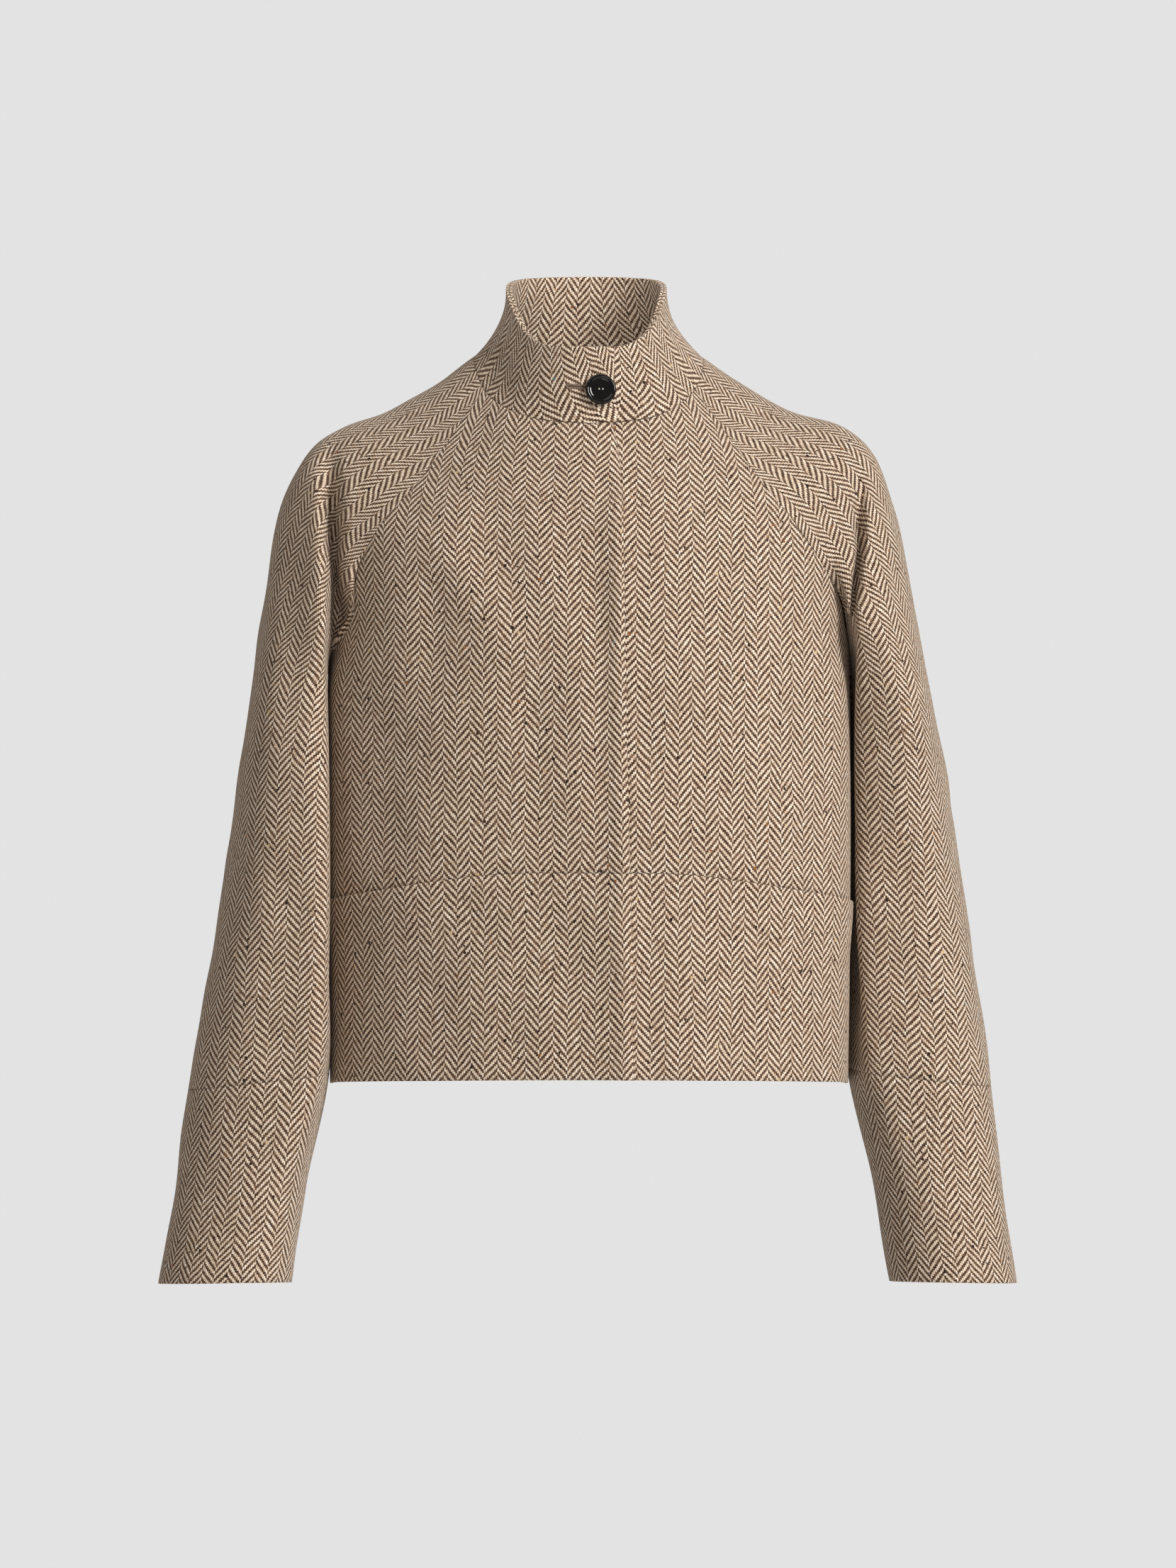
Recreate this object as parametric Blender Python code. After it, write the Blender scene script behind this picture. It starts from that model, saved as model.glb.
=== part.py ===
"""A cropped tweed jacket with a funnel collar, raglan sleeves and a lapped front, hollow as it is when worn.

Metres, +Z up. +X is the wearer's left and -Y is the front. The origin lies on the centre plane between the
shoulders, level with the points where the collar meets the shoulder line.
"""

import math
from collections import namedtuple

import bmesh
import bpy
from mathutils import Vector

# Cloth and seams
CLOTH = 0.0020
SEAM_GAP = 0.0003
PROBE = 0.0005

# Heights of the main lines of the body
UNDERARM_HEIGHT = -0.222
HEM_SIDE_HEIGHT = -0.509
HEM_FRONT_RISE = 0.008
HEM_BACK_DROP = 0.002

# Lapped front: the wearer's right front lies over the left one
UNDERLAP = 0.028
UNDERLAP_DROP = CLOTH + 0.0010
UNDERLAP_CLEAR = 0.004
UNDERLAP_EASE = 0.026

# Pocket mouth in the front's cross seam
POCKET_PROUD = CLOTH + SEAM_GAP
POCKET_LIP_FALL = 0.045
POCKET_FROM_TURN = math.radians(24)
POCKET_FULL_TURN = math.radians(42)
POCKET_LEAVE_TURN = math.radians(74)
POCKET_TO_TURN = math.radians(88)

# Collar, cut double: an outer stand and a facing
COLLAR_HALF_WIDTH = 0.057
COLLAR_FRONT = 0.076
COLLAR_BACK = 0.060
COLLAR_LAP = 0.020
COLLAR_LEAN = 0.0018
COLLAR_UNDERLAP = 0.026
COLLAR_DROP = 2 * CLOTH + 8 * SEAM_GAP
NECK_HALF_WIDTH = 0.081
NECK_FRONT = 0.084
NECK_BACK = 0.070
FRONT_SEAM_BEARING = math.radians(66)
BACK_SEAM_BEARING = math.radians(130)

# Button
BUTTON_DIAMETER = 0.0215
BUTTON_THICKNESS = 0.0042
BUTTON_RIM = 0.0022
BUTTON_DISH = 0.0011
BUTTON_HOLE = 0.0013
BUTTON_HOLE_SPACING = 0.0026
BUTTON_BEARING = math.radians(7.4)
BUTTON_RISE = 0.42
BUTTON_SIDES = 28
BUTTON_STAND = 0.0008

# Each row of a table is one section, and the first column is what the others are read by
BodySection = namedtuple("BodySection", "height half_width front_depth back_depth squareness")
BODY = (
    BodySection(-0.510, 0.1825, 0.142, 0.115, 0.060),
    BodySection(-0.400, 0.1840, 0.142, 0.116, 0.060),
    BodySection(-0.300, 0.1845, 0.140, 0.119, 0.060),
    BodySection(-0.222, 0.1840, 0.136, 0.122, 0.060),
    BodySection(-0.160, 0.1830, 0.126, 0.119, 0.060),
    BodySection(-0.100, 0.1810, 0.107, 0.110, 0.060),
    BodySection(-0.048, 0.1780, 0.084, 0.096, 0.060),
    BodySection(0.012, 0.1730, 0.050, 0.071, 0.060),
)

LapSection = namedtuple("LapSection", "depth_below_neck reach drop")
LAP = (
    LapSection(0.000, 0.0175, COLLAR_DROP),
    LapSection(0.040, 0.0225, 0.7 * COLLAR_DROP),
    LapSection(0.090, 0.0240, UNDERLAP_DROP),
    LapSection(0.310, 0.0280, UNDERLAP_DROP),
    LapSection(0.460, 0.0305, UNDERLAP_DROP),
)

CrossSeam = namedtuple("CrossSeam", "turn_deg height")
CROSS_SEAM = (
    CrossSeam(-20, -0.3600),
    CrossSeam(0, -0.3590),
    CrossSeam(20, -0.3600),
    CrossSeam(32, -0.3645),
    CrossSeam(50, -0.3725),
    CrossSeam(70, -0.3795),
    CrossSeam(90, -0.3840),
)

NeckSection = namedtuple("NeckSection", "bearing_deg seam_height collar_height flare")
NECK = (
    NeckSection(0, -0.0480, 0.0060, 1.05),
    NeckSection(30, -0.0435, 0.0080, 1.10),
    NeckSection(50, -0.0335, 0.0180, 1.45),
    NeckSection(66, -0.0215, 0.0350, 1.85),
    NeckSection(78, -0.0080, 0.0460, 2.15),
    NeckSection(90, 0.0010, 0.0520, 2.20),
    NeckSection(115, 0.0085, 0.0590, 2.00),
    NeckSection(150, 0.0120, 0.0630, 1.60),
    NeckSection(180, 0.0125, 0.0640, 1.50),
)

# Raglan seams from the neck, station 0, to the underarm, station 8. Turns are counted from the centre
# front and the centre back. A reach lies along the cloth, and a swing to the front or the back.
RaglanSection = namedtuple(
    "RaglanSection", "station front_turn front_height back_turn back_height reach swing"
)
RAGLAN = (
    RaglanSection(0, 24.4, -0.0215, 20.1, 0.0105, 0.024, 0.000),
    RaglanSection(1, 28.3, -0.0400, 22.9, -0.0080, 0.026, 0.000),
    RaglanSection(2, 33.0, -0.0620, 26.4, -0.0300, 0.030, 0.000),
    RaglanSection(3, 39.2, -0.0880, 31.3, -0.0570, 0.034, 0.000),
    RaglanSection(4, 46.6, -0.1110, 37.7, -0.0850, 0.036, 0.002),
    RaglanSection(5, 54.0, -0.1350, 45.2, -0.1130, 0.032, 0.010),
    RaglanSection(6, 62.3, -0.1620, 54.5, -0.1470, 0.022, 0.030),
    RaglanSection(7, 74.0, -0.1940, 67.5, -0.1870, 0.008, 0.064),
    RaglanSection(8, 90.0, UNDERARM_HEIGHT, 90.0, UNDERARM_HEIGHT, 0.000, 0.100),
)

# Line over the shoulder and down the outside of the arm. The round is how far each section's curve
# runs straight to the front and back before it turns in.
OverarmSection = namedtuple("OverarmSection", "station x height round_front round_back")
OVERARM = (
    OverarmSection(0, 0.0810, 0.0010, 0.022, 0.022),
    OverarmSection(1, 0.1060, -0.0165, 0.026, 0.026),
    OverarmSection(2, 0.1420, -0.0358, 0.031, 0.031),
    OverarmSection(3, 0.1765, -0.0485, 0.038, 0.038),
    OverarmSection(4, 0.2000, -0.0680, 0.048, 0.047),
    OverarmSection(5, 0.2145, -0.1030, 0.062, 0.060),
    OverarmSection(6, 0.2235, -0.1430, 0.078, 0.075),
    OverarmSection(7, 0.2320, -0.1860, 0.092, 0.090),
    OverarmSection(8, 0.2385, -0.2250, 0.100, 0.098),
    OverarmSection(9, 0.2465, -0.2720, 0.097, 0.095),
    OverarmSection(10, 0.2550, -0.3240, 0.092, 0.090),
    OverarmSection(11, 0.2635, -0.3800, 0.086, 0.084),
    OverarmSection(12, 0.2730, -0.4380, 0.080, 0.078),
    OverarmSection(13, 0.2835, -0.5115, 0.073, 0.071),
    OverarmSection(14, 0.2920, -0.5860, 0.070, 0.068),
    OverarmSection(15, 0.3020, -0.6500, 0.069, 0.067),
)
UNDERARM = 8
CUFF_SEAM = 13
SLEEVE_END = 15

# Underarm seam, on the inside of the arm
InnerArmSection = namedtuple("InnerArmSection", "station x height")
INNER_ARM = (
    InnerArmSection(8, 0.1847, UNDERARM_HEIGHT),
    InnerArmSection(9, 0.1850, -0.2690),
    InnerArmSection(10, 0.1850, -0.3200),
    InnerArmSection(11, 0.1850, -0.3740),
    InnerArmSection(12, 0.1852, -0.4300),
    InnerArmSection(13, 0.1868, -0.4990),
    InnerArmSection(14, 0.2000, -0.5820),
    InnerArmSection(15, 0.2095, -0.6490),
)

# How each arm hangs: forward, and out past the lines above. The right arm hangs before the body's edge
# and the left one behind it.
HangSection = namedtuple("HangSection", "station forward outer_shift inner_shift")
HANG = {
    1: (
        HangSection(2, 0.000, 0.0000, 0.0000),
        HangSection(3, 0.000, 0.0035, 0.0000),
        HangSection(4, 0.000, 0.0020, 0.0000),
        HangSection(5, 0.000, -0.0005, 0.0000),
        HangSection(8, 0.000, 0.0005, 0.0000),
        HangSection(9, -0.010, 0.0025, -0.0002),
        HangSection(10, -0.020, 0.0037, -0.0008),
        HangSection(11, -0.024, 0.0035, -0.0012),
        HangSection(12, -0.024, 0.0030, -0.0016),
        HangSection(13, -0.021, 0.0018, -0.0038),
        HangSection(14, -0.018, 0.0006, 0.0012),
        HangSection(15, -0.014, 0.0000, 0.0025),
    ),
    -1: (
        HangSection(2, 0.000, -0.0010, 0.0000),
        HangSection(3, 0.000, -0.0010, 0.0000),
        HangSection(4, 0.000, 0.0000, 0.0000),
        HangSection(5, 0.000, 0.0022, 0.0000),
        HangSection(8, 0.000, -0.0008, 0.0000),
        HangSection(9, 0.013, -0.0024, -0.0004),
        HangSection(10, 0.028, -0.0042, -0.0014),
        HangSection(11, 0.037, -0.0048, -0.0020),
        HangSection(12, 0.041, -0.0044, -0.0024),
        HangSection(13, 0.042, -0.0026, -0.0052),
        HangSection(14, 0.041, -0.0012, -0.0020),
        HangSection(15, 0.040, -0.0004, -0.0010),
    ),
}
CUFF_FRONT_LIFT = 0.06

# Deep folds from the shoulder to the armpit. Around is a share of the way over the sleeve from its seam.
ArmpitFold = namedtuple("ArmpitFold", "station around width depth")
ARMPIT_FOLD = (
    ArmpitFold(2.6, 0.40, 0.060, 0.000),
    ArmpitFold(3.4, 0.34, 0.055, 0.002),
    ArmpitFold(4.2, 0.26, 0.050, 0.006),
    ArmpitFold(5.0, 0.20, 0.048, 0.011),
    ArmpitFold(6.0, 0.15, 0.046, 0.014),
    ArmpitFold(7.0, 0.11, 0.044, 0.010),
    ArmpitFold(8.0, 0.09, 0.044, 0.004),
    ArmpitFold(9.0, 0.08, 0.044, 0.000),
)
FOLD_SEAM_EASE = 0.06
BACK_FOLD_SHARE = 0.6

# +1 is the wearer's left
SIDE_NAMES = {1: "left", -1: "right"}

# Facets
FRONT_COLUMNS = 14
BACK_COLUMNS = 22
SLEEVE_COLUMNS = 24
COLLAR_COLUMNS = 48
COLLAR_ROWS = 5
CAP_ROWS = 16
ARM_ROWS = 8
CUFF_ROWS = 4
UPPER_FRONT_ROWS = 4
LOWER_FRONT_ROWS = 5
LOWER_BACK_ROWS = 8

TWEED_COLOUR = (0.33, 0.25, 0.19, 1.0)
BUTTON_COLOUR = (0.012, 0.012, 0.012, 1.0)


class Table:
    """Smooth curves through a table's columns, carried on straight past its ends."""

    def __init__(self, rows):
        self.rows = rows
        self.keys = [row[0] for row in rows]

    def slope(self, index, column):
        low = max(index - 1, 0)
        high = min(index + 1, len(self.rows) - 1)
        rise = getattr(self.rows[high], column) - getattr(self.rows[low], column)
        return rise / (self.keys[high] - self.keys[low])

    def read(self, key, column):
        if key <= self.keys[0] or key >= self.keys[-1]:
            end = 0 if key <= self.keys[0] else len(self.rows) - 1
            return getattr(self.rows[end], column) + self.slope(end, column) * (key - self.keys[end])
        index = max(i for i, start in enumerate(self.keys) if start <= key)
        span = self.keys[index + 1] - self.keys[index]
        t = (key - self.keys[index]) / span
        start = getattr(self.rows[index], column)
        end = getattr(self.rows[index + 1], column)
        leave = self.slope(index, column) * span
        arrive = self.slope(index + 1, column) * span
        return (
            start * (1 + 2 * t) * (1 - t) ** 2
            + leave * t * (1 - t) ** 2
            + end * t * t * (3 - 2 * t)
            + arrive * t * t * (t - 1)
        )


body = Table(BODY)
lap = Table(LAP)
cross_seam = Table(CROSS_SEAM)
neck = Table(NECK)
raglan = Table(RAGLAN)
overarm = Table(OVERARM)
inner_arm = Table(INNER_ARM)
hang = {side: Table(rows) for side, rows in HANG.items()}
armpit_fold = Table(ARMPIT_FOLD)


def mix(start, end, share):
    return start + (end - start) * share


def ease(low, high, value):
    """0 up to low, 1 from high on, and smooth between."""
    t = min(max((value - low) / (high - low), 0.0), 1.0)
    return t * t * (3 - 2 * t)


def steps(start, end, count):
    return [mix(start, end, i / count) for i in range(count + 1)]


def normal_of(surface, a, b):
    """Outward normal of a surface whose parameters a and b turn counter-clockwise seen from outside."""
    along_a = surface(a + PROBE, b) - surface(a - PROBE, b)
    along_b = surface(a, b + PROBE) - surface(a, b - PROBE)
    return along_a.cross(along_b).normalized()


# Body

def body_point(height, turn):
    """Point of the body's outside. Turn runs from the centre front, by the wearer's left, to the back."""
    fullness = 1 + body.read(height, "squareness") * math.sin(2 * turn) ** 2
    depth = body.read(height, "front_depth" if math.cos(turn) > 0 else "back_depth")
    return Vector((
        body.read(height, "half_width") * fullness * math.sin(turn),
        -depth * fullness * math.cos(turn),
        height,
    ))


def neck_point(bearing):
    """Point of the seam between body and collar."""
    depth = NECK_FRONT if math.cos(bearing) > 0 else NECK_BACK
    height = neck.read(abs(math.degrees(bearing)), "seam_height")
    return Vector((NECK_HALF_WIDTH * math.sin(bearing), -depth * math.cos(bearing), height))


def hem_height(turn):
    """The hem rises to the centre front and drops a little to the centre back."""
    lift = HEM_FRONT_RISE if math.cos(turn) > 0 else HEM_BACK_DROP
    return HEM_SIDE_HEIGHT + lift * math.cos(turn)


def lap_read(height, column):
    """Row of the lap table for a height, the same all the way up the collar."""
    return lap.read(max(NECK[0].seam_height - height, 0.0), column)


def drawn_under(point):
    """Draws the wearer's left side in, level, where it runs under the right side."""
    clear = lap_read(point.z, "reach") + UNDERLAP_CLEAR
    share = 1 - ease(clear, clear + UNDERLAP_EASE, point.x)
    return point - Vector((point.x, point.y, 0)).normalized() * lap_read(point.z, "drop") * share


def neck_pull(point, share, seam_point, sheet_top):
    """Draws the top of a panel onto the neck seam."""
    return point + (seam_point - sheet_top) * ease(0.3, 1.0, share)


def upper_front_point(across, station, reach):
    """Front panel above the cross seam. Across runs from its front edge, 0, to the side or raglan seam, 1.
    Station counts down from the cross seam, 9, past the underarm, 8, to the neck, 0."""
    if station >= UNDERARM:
        share = station - UNDERARM
        edge = -reach / body.read(UNDERARM_HEIGHT, "half_width")
        turn = mix(edge, math.pi / 2, across)
        low = cross_seam.read(math.degrees(turn), "height")
        return body_point(mix(UNDERARM_HEIGHT, low, share), turn)
    share = 1 - station / UNDERARM
    edge = -reach / body.read(UNDERARM_HEIGHT, "half_width")
    seam_turn = math.radians(raglan.read(station, "front_turn"))
    seam_height = raglan.read(station, "front_height")
    bearing = mix(-reach / NECK_HALF_WIDTH, FRONT_SEAM_BEARING, across)
    seam_point = neck_point(bearing)
    dip = seam_point.z - neck_point(FRONT_SEAM_BEARING).z
    height = seam_height + dip * share * share
    point = body_point(height, mix(edge, seam_turn, across))
    top_turn = mix(edge, math.radians(RAGLAN[0].front_turn), across)
    sheet_top = body_point(RAGLAN[0].front_height + dip, top_turn)
    return neck_pull(point, share, seam_point, sheet_top)


def lower_front_point(across, up, reach):
    """Front panel below the cross seam, standing off the panel above along the pocket mouth."""
    turn = mix(-reach / body.read(HEM_SIDE_HEIGHT, "half_width"), math.pi / 2, across)
    top = cross_seam.read(math.degrees(turn), "height")
    height = mix(hem_height(turn), top, up)
    point = body_point(height, turn)
    outward = Vector((point.x, point.y, 0)).normalized()
    mouth = ease(POCKET_FROM_TURN, POCKET_FULL_TURN, turn) * (1 - ease(POCKET_LEAVE_TURN, POCKET_TO_TURN, turn))
    return point + outward * POCKET_PROUD * mouth * ease(top - POCKET_LIP_FALL, top, height)


def back_point(across, station):
    """Back panel. Across runs from the left side or raglan seam, 0, to the right one, 1.
    Station counts down from the hem, 9, past the underarm, 8, to the neck, 0."""
    if station >= UNDERARM:
        turn = mix(math.pi / 2, 3 * math.pi / 2, across)
        return body_point(mix(UNDERARM_HEIGHT, hem_height(turn), station - UNDERARM), turn)
    share = 1 - station / UNDERARM
    seam_turn = math.radians(raglan.read(station, "back_turn"))
    turn = math.pi + mix(-seam_turn, seam_turn, across)
    bearing = math.pi + mix(-1, 1, across) * (math.pi - BACK_SEAM_BEARING)
    seam_point = neck_point(math.pi - abs(bearing - math.pi))
    seam_point.x *= math.copysign(1, math.pi - bearing)
    dip = seam_point.z - neck_point(BACK_SEAM_BEARING).z
    point = body_point(raglan.read(station, "back_height") + dip * share * share, turn)
    top_turn = math.pi + mix(-1, 1, across) * math.radians(RAGLAN[0].back_turn)
    sheet_top = body_point(RAGLAN[0].back_height + dip, top_turn)
    return neck_pull(point, share, seam_point, sheet_top)


# Sleeve

def bezier(start, start_handle, end_handle, end, t):
    s = 1 - t
    return start * s**3 + start_handle * (3 * s * s * t) + end_handle * (3 * s * t * t) + end * t**3


def raglan_edge(station, is_front):
    """Point of a raglan seam, and the direction in which the body's cloth faces there."""
    if is_front:
        def surface(across, at):
            return upper_front_point(across, at, 0)
        return surface(1, station), -normal_of(surface, 1, station)

    return back_point(0, station), -normal_of(back_point, 0, station)


def sleeve_section(station, is_front):
    """Start, two handles and end of the section's curve from the seam to the line over the arm."""
    facing = Vector((0, -1 if is_front else 1, 0))
    top = Vector((overarm.read(station, "x"), 0, overarm.read(station, "height")))
    round_over = facing * overarm.read(station, "round_front" if is_front else "round_back")
    if station >= UNDERARM:
        inner = Vector((inner_arm.read(station, "x"), 0, inner_arm.read(station, "height")))
        inner += facing * SEAM_GAP / 2
        return inner, inner + round_over, top + round_over, top
    edge, outward = raglan_edge(station, is_front)
    start = edge + outward * SEAM_GAP * ease(4, 7, station)
    along_cloth = top - start
    along_cloth = (along_cloth - outward * along_cloth.dot(outward)).normalized()
    reach = along_cloth * raglan.read(station, "reach")
    swing = facing * raglan.read(station, "swing")
    return start, start + reach + swing, top + round_over, top


def fold_depth(around, station):
    """Depth of the armpit folds, counted from the nearer seam."""
    from_seam = min(around, 1 - around)
    if not ARMPIT_FOLD[0].station < station < ARMPIT_FOLD[-1].station:
        return 0.0
    away = (from_seam - armpit_fold.read(station, "around")) / armpit_fold.read(station, "width")
    share = 1.0 if around < 0.5 else BACK_FOLD_SHARE
    return share * armpit_fold.read(station, "depth") * math.exp(-away * away) * ease(0, FOLD_SEAM_EASE, from_seam)


def plain_sleeve_point(around, station):
    """Sleeve with no folds. Around runs from the front seam, 0, over the arm, 0.5, to the back seam, 1."""
    is_front = around < 0.5
    start, start_handle, end_handle, end = sleeve_section(station, is_front)
    t = 2 * around if is_front else 2 * (1 - around)
    point = bezier(start, start_handle, end_handle, end, t)
    if station >= UNDERARM:
        return point
    bearing = mix(FRONT_SEAM_BEARING, BACK_SEAM_BEARING, around)
    neck_start, neck_handle, top_handle, neck_end = sleeve_section(0, is_front)
    sheet_top = bezier(neck_start, neck_handle, top_handle, neck_end, t)
    return neck_pull(point, 1 - station / UNDERARM, neck_point(bearing), sheet_top)


def sleeve_point(around, station):
    point = plain_sleeve_point(around, station)
    depth = fold_depth(around, station)
    if depth < PROBE / 10:
        return point
    return point + normal_of(plain_sleeve_point, around, station) * depth


def hanging_sleeve_point(around, station, side):
    """Sleeve carried forward or back, and in or out, as that arm hangs below the underarm."""
    point = sleeve_point(around, station)
    table = hang[side]
    forward = table.read(max(station, UNDERARM), "forward")
    outer = (1 - math.cos(2 * math.pi * around)) / 2
    at = max(station, HANG[side][0].station)
    shift = mix(table.read(at, "inner_shift"), table.read(at, "outer_shift"), outer) * ease(0, 3, station)
    lift = (forward - point.y) * CUFF_FRONT_LIFT * ease(CUFF_SEAM, SLEEVE_END, station)
    return point + Vector((shift, -forward, lift))


# Collar

def collar_point(bearing, rise):
    """Outer face of the collar. Bearing is counted from the centre front, by the wearer's left."""
    around = abs((bearing + math.pi) % (2 * math.pi) - math.pi)
    is_front = math.cos(around) > 0
    inward = 1 - (1 - min(rise, 1.0)) ** neck.read(math.degrees(around), "flare")
    depth = mix(NECK_FRONT, COLLAR_FRONT, inward) if is_front else mix(NECK_BACK, COLLAR_BACK, inward)
    return Vector((
        mix(NECK_HALF_WIDTH, COLLAR_HALF_WIDTH, inward) * math.sin(bearing) - COLLAR_LEAN * ease(0, 0.6, rise),
        -depth * math.cos(around),
        mix(neck_point(around).z, neck.read(math.degrees(around), "collar_height"), rise),
    ))


def lapped_collar_point(share, rise):
    """Collar from its left end, 0, round the back to its right end, 1, which lies over the left one."""
    half_width = mix(NECK_HALF_WIDTH, COLLAR_HALF_WIDTH, min(rise, 1.0))
    start = -math.asin(COLLAR_UNDERLAP / half_width)
    end = 2 * math.pi + math.asin(COLLAR_LAP / half_width)
    bearing = mix(start, end, share)
    point = collar_point(bearing, rise)
    return drawn_under(point) if bearing < math.pi / 2 else point


# Solids

def fabric(name, colour, roughness):
    material = bpy.data.materials.new(name)
    material.use_nodes = True
    shader = material.node_tree.nodes["Principled BSDF"]
    shader.inputs["Base Color"].default_value = colour
    shader.inputs["Roughness"].default_value = roughness
    shader.inputs["Metallic"].default_value = 0.0
    return material


def drawn_in(grid):
    """Moves the edges of a grid of points in by half a seam gap."""
    half_gap = SEAM_GAP / 2

    def towards(point, other):
        return point + (other - point).normalized() * half_gap

    for row in grid:
        row[0], row[-1] = towards(row[0], row[1]), towards(row[-1], row[-2])
    first, last = grid[0], grid[-1]
    for column in range(len(first)):
        first[column] = towards(first[column], grid[1][column])
        last[column] = towards(last[column], grid[-2][column])


def cloth_wall(name, outer, normals, material):
    """Closed wall between a grid of outer points and the same grid one cloth's thickness further in."""
    drawn_in(outer)
    mesh = bmesh.new()
    faces = []
    for depth in (0, CLOTH):
        faces.append([
            [mesh.verts.new(point - normal * depth) for point, normal in zip(row, row_normals)]
            for row, row_normals in zip(outer, normals)
        ])
    outside, inside = faces
    rows, columns = len(outer), len(outer[0])
    for i in range(rows - 1):
        for j in range(columns - 1):
            for side in faces:
                mesh.faces.new((side[i][j], side[i][j + 1], side[i + 1][j + 1], side[i + 1][j]))
    rim = [(0, j) for j in range(columns)] + [(i, columns - 1) for i in range(1, rows)]
    rim += [(rows - 1, j) for j in range(columns - 2, -1, -1)] + [(i, 0) for i in range(rows - 2, 0, -1)]
    for (i, j), (k, m) in zip(rim, rim[1:] + rim[:1]):
        mesh.faces.new((outside[i][j], outside[k][m], inside[k][m], inside[i][j]))
    bmesh.ops.recalc_face_normals(mesh, faces=mesh.faces)
    return solid_object(name, mesh, material)


def solid_object(name, mesh, material):
    data = bpy.data.meshes.new(name)
    mesh.to_mesh(data)
    mesh.free()
    data.shade_smooth()
    data.set_sharp_from_angle(angle=math.radians(40))
    data.materials.append(material)
    solid = bpy.data.objects.new(name, data)
    bpy.context.scene.collection.objects.link(solid)
    return solid


def panel(name, surface, first, second, material, flip=False, mirrored=False, depth=0.0):
    """Wall on a surface sampled at the first and second parameters, with the outside set by flip."""
    outer, normals = [], []
    for b in second:
        row, row_normals = [], []
        for a in first:
            normal = normal_of(surface, a, b) * (-1 if flip else 1)
            point = surface(a, b) - normal * depth
            if mirrored:
                point.x, normal.x = -point.x, -normal.x
            row.append(point)
            row_normals.append(normal)
        outer.append(row)
        normals.append(row_normals)
    return cloth_wall(name, outer, normals, material)


def make_fronts(tweed):
    """Upper and lower fronts. The left ones are drawn in where they run under the right ones."""
    across = steps(0, 1, FRONT_COLUMNS)
    stations = steps(0, UNDERARM, CAP_ROWS) + steps(UNDERARM, UNDERARM + 1, UPPER_FRONT_ROWS)[1:]

    def left_upper(a, station):
        return drawn_under(upper_front_point(a, station, UNDERLAP))

    def left_lower(a, up):
        return drawn_under(lower_front_point(a, up, UNDERLAP))

    def right_upper(a, station):
        edge = upper_front_point(0, station, 0)
        return upper_front_point(a, station, lap_read(edge.z, "reach"))

    def right_lower(a, up):
        edge = lower_front_point(0, up, 0)
        return lower_front_point(a, up, lap_read(edge.z, "reach"))

    ups = steps(0, 1, LOWER_FRONT_ROWS)
    panel("left_front_upper", left_upper, across, stations, tweed, flip=True)
    panel("left_front_lower", left_lower, across, ups, tweed)
    panel("right_front_upper", right_upper, across, stations, tweed, flip=True, mirrored=True)
    panel("right_front_lower", right_lower, across, ups, tweed, mirrored=True)


def make_back(tweed):
    stations = steps(0, UNDERARM, CAP_ROWS) + steps(UNDERARM, UNDERARM + 1, LOWER_BACK_ROWS)[1:]
    panel("back", back_point, steps(0, 1, BACK_COLUMNS), stations, tweed, flip=True)


def make_sleeves(tweed):
    """Raglan sleeves, each with a deep cuff sewn on below the elbow."""
    around = steps(0, 1, SLEEVE_COLUMNS)
    cap = steps(0, UNDERARM, CAP_ROWS)
    arm = steps(UNDERARM, CUFF_SEAM, ARM_ROWS)[1:]
    cuff = steps(CUFF_SEAM, SLEEVE_END, CUFF_ROWS)
    for side, name in SIDE_NAMES.items():
        def hanging(a, station):
            return hanging_sleeve_point(a, station, side)

        panel(f"{name}_sleeve", hanging, around, cap + arm, tweed, flip=True, mirrored=side < 0)
        panel(f"{name}_cuff", hanging, around, cuff, tweed, flip=True, mirrored=side < 0)


def make_collar(tweed):
    """Outer stand and facing, both lapped right over left at the front."""
    shares = steps(0, 1, COLLAR_COLUMNS)
    rises = steps(0, 1, COLLAR_ROWS)
    panel("collar", lapped_collar_point, shares, rises, tweed)
    panel("collar_facing", lapped_collar_point, shares, rises, tweed, depth=CLOTH + SEAM_GAP)


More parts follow.
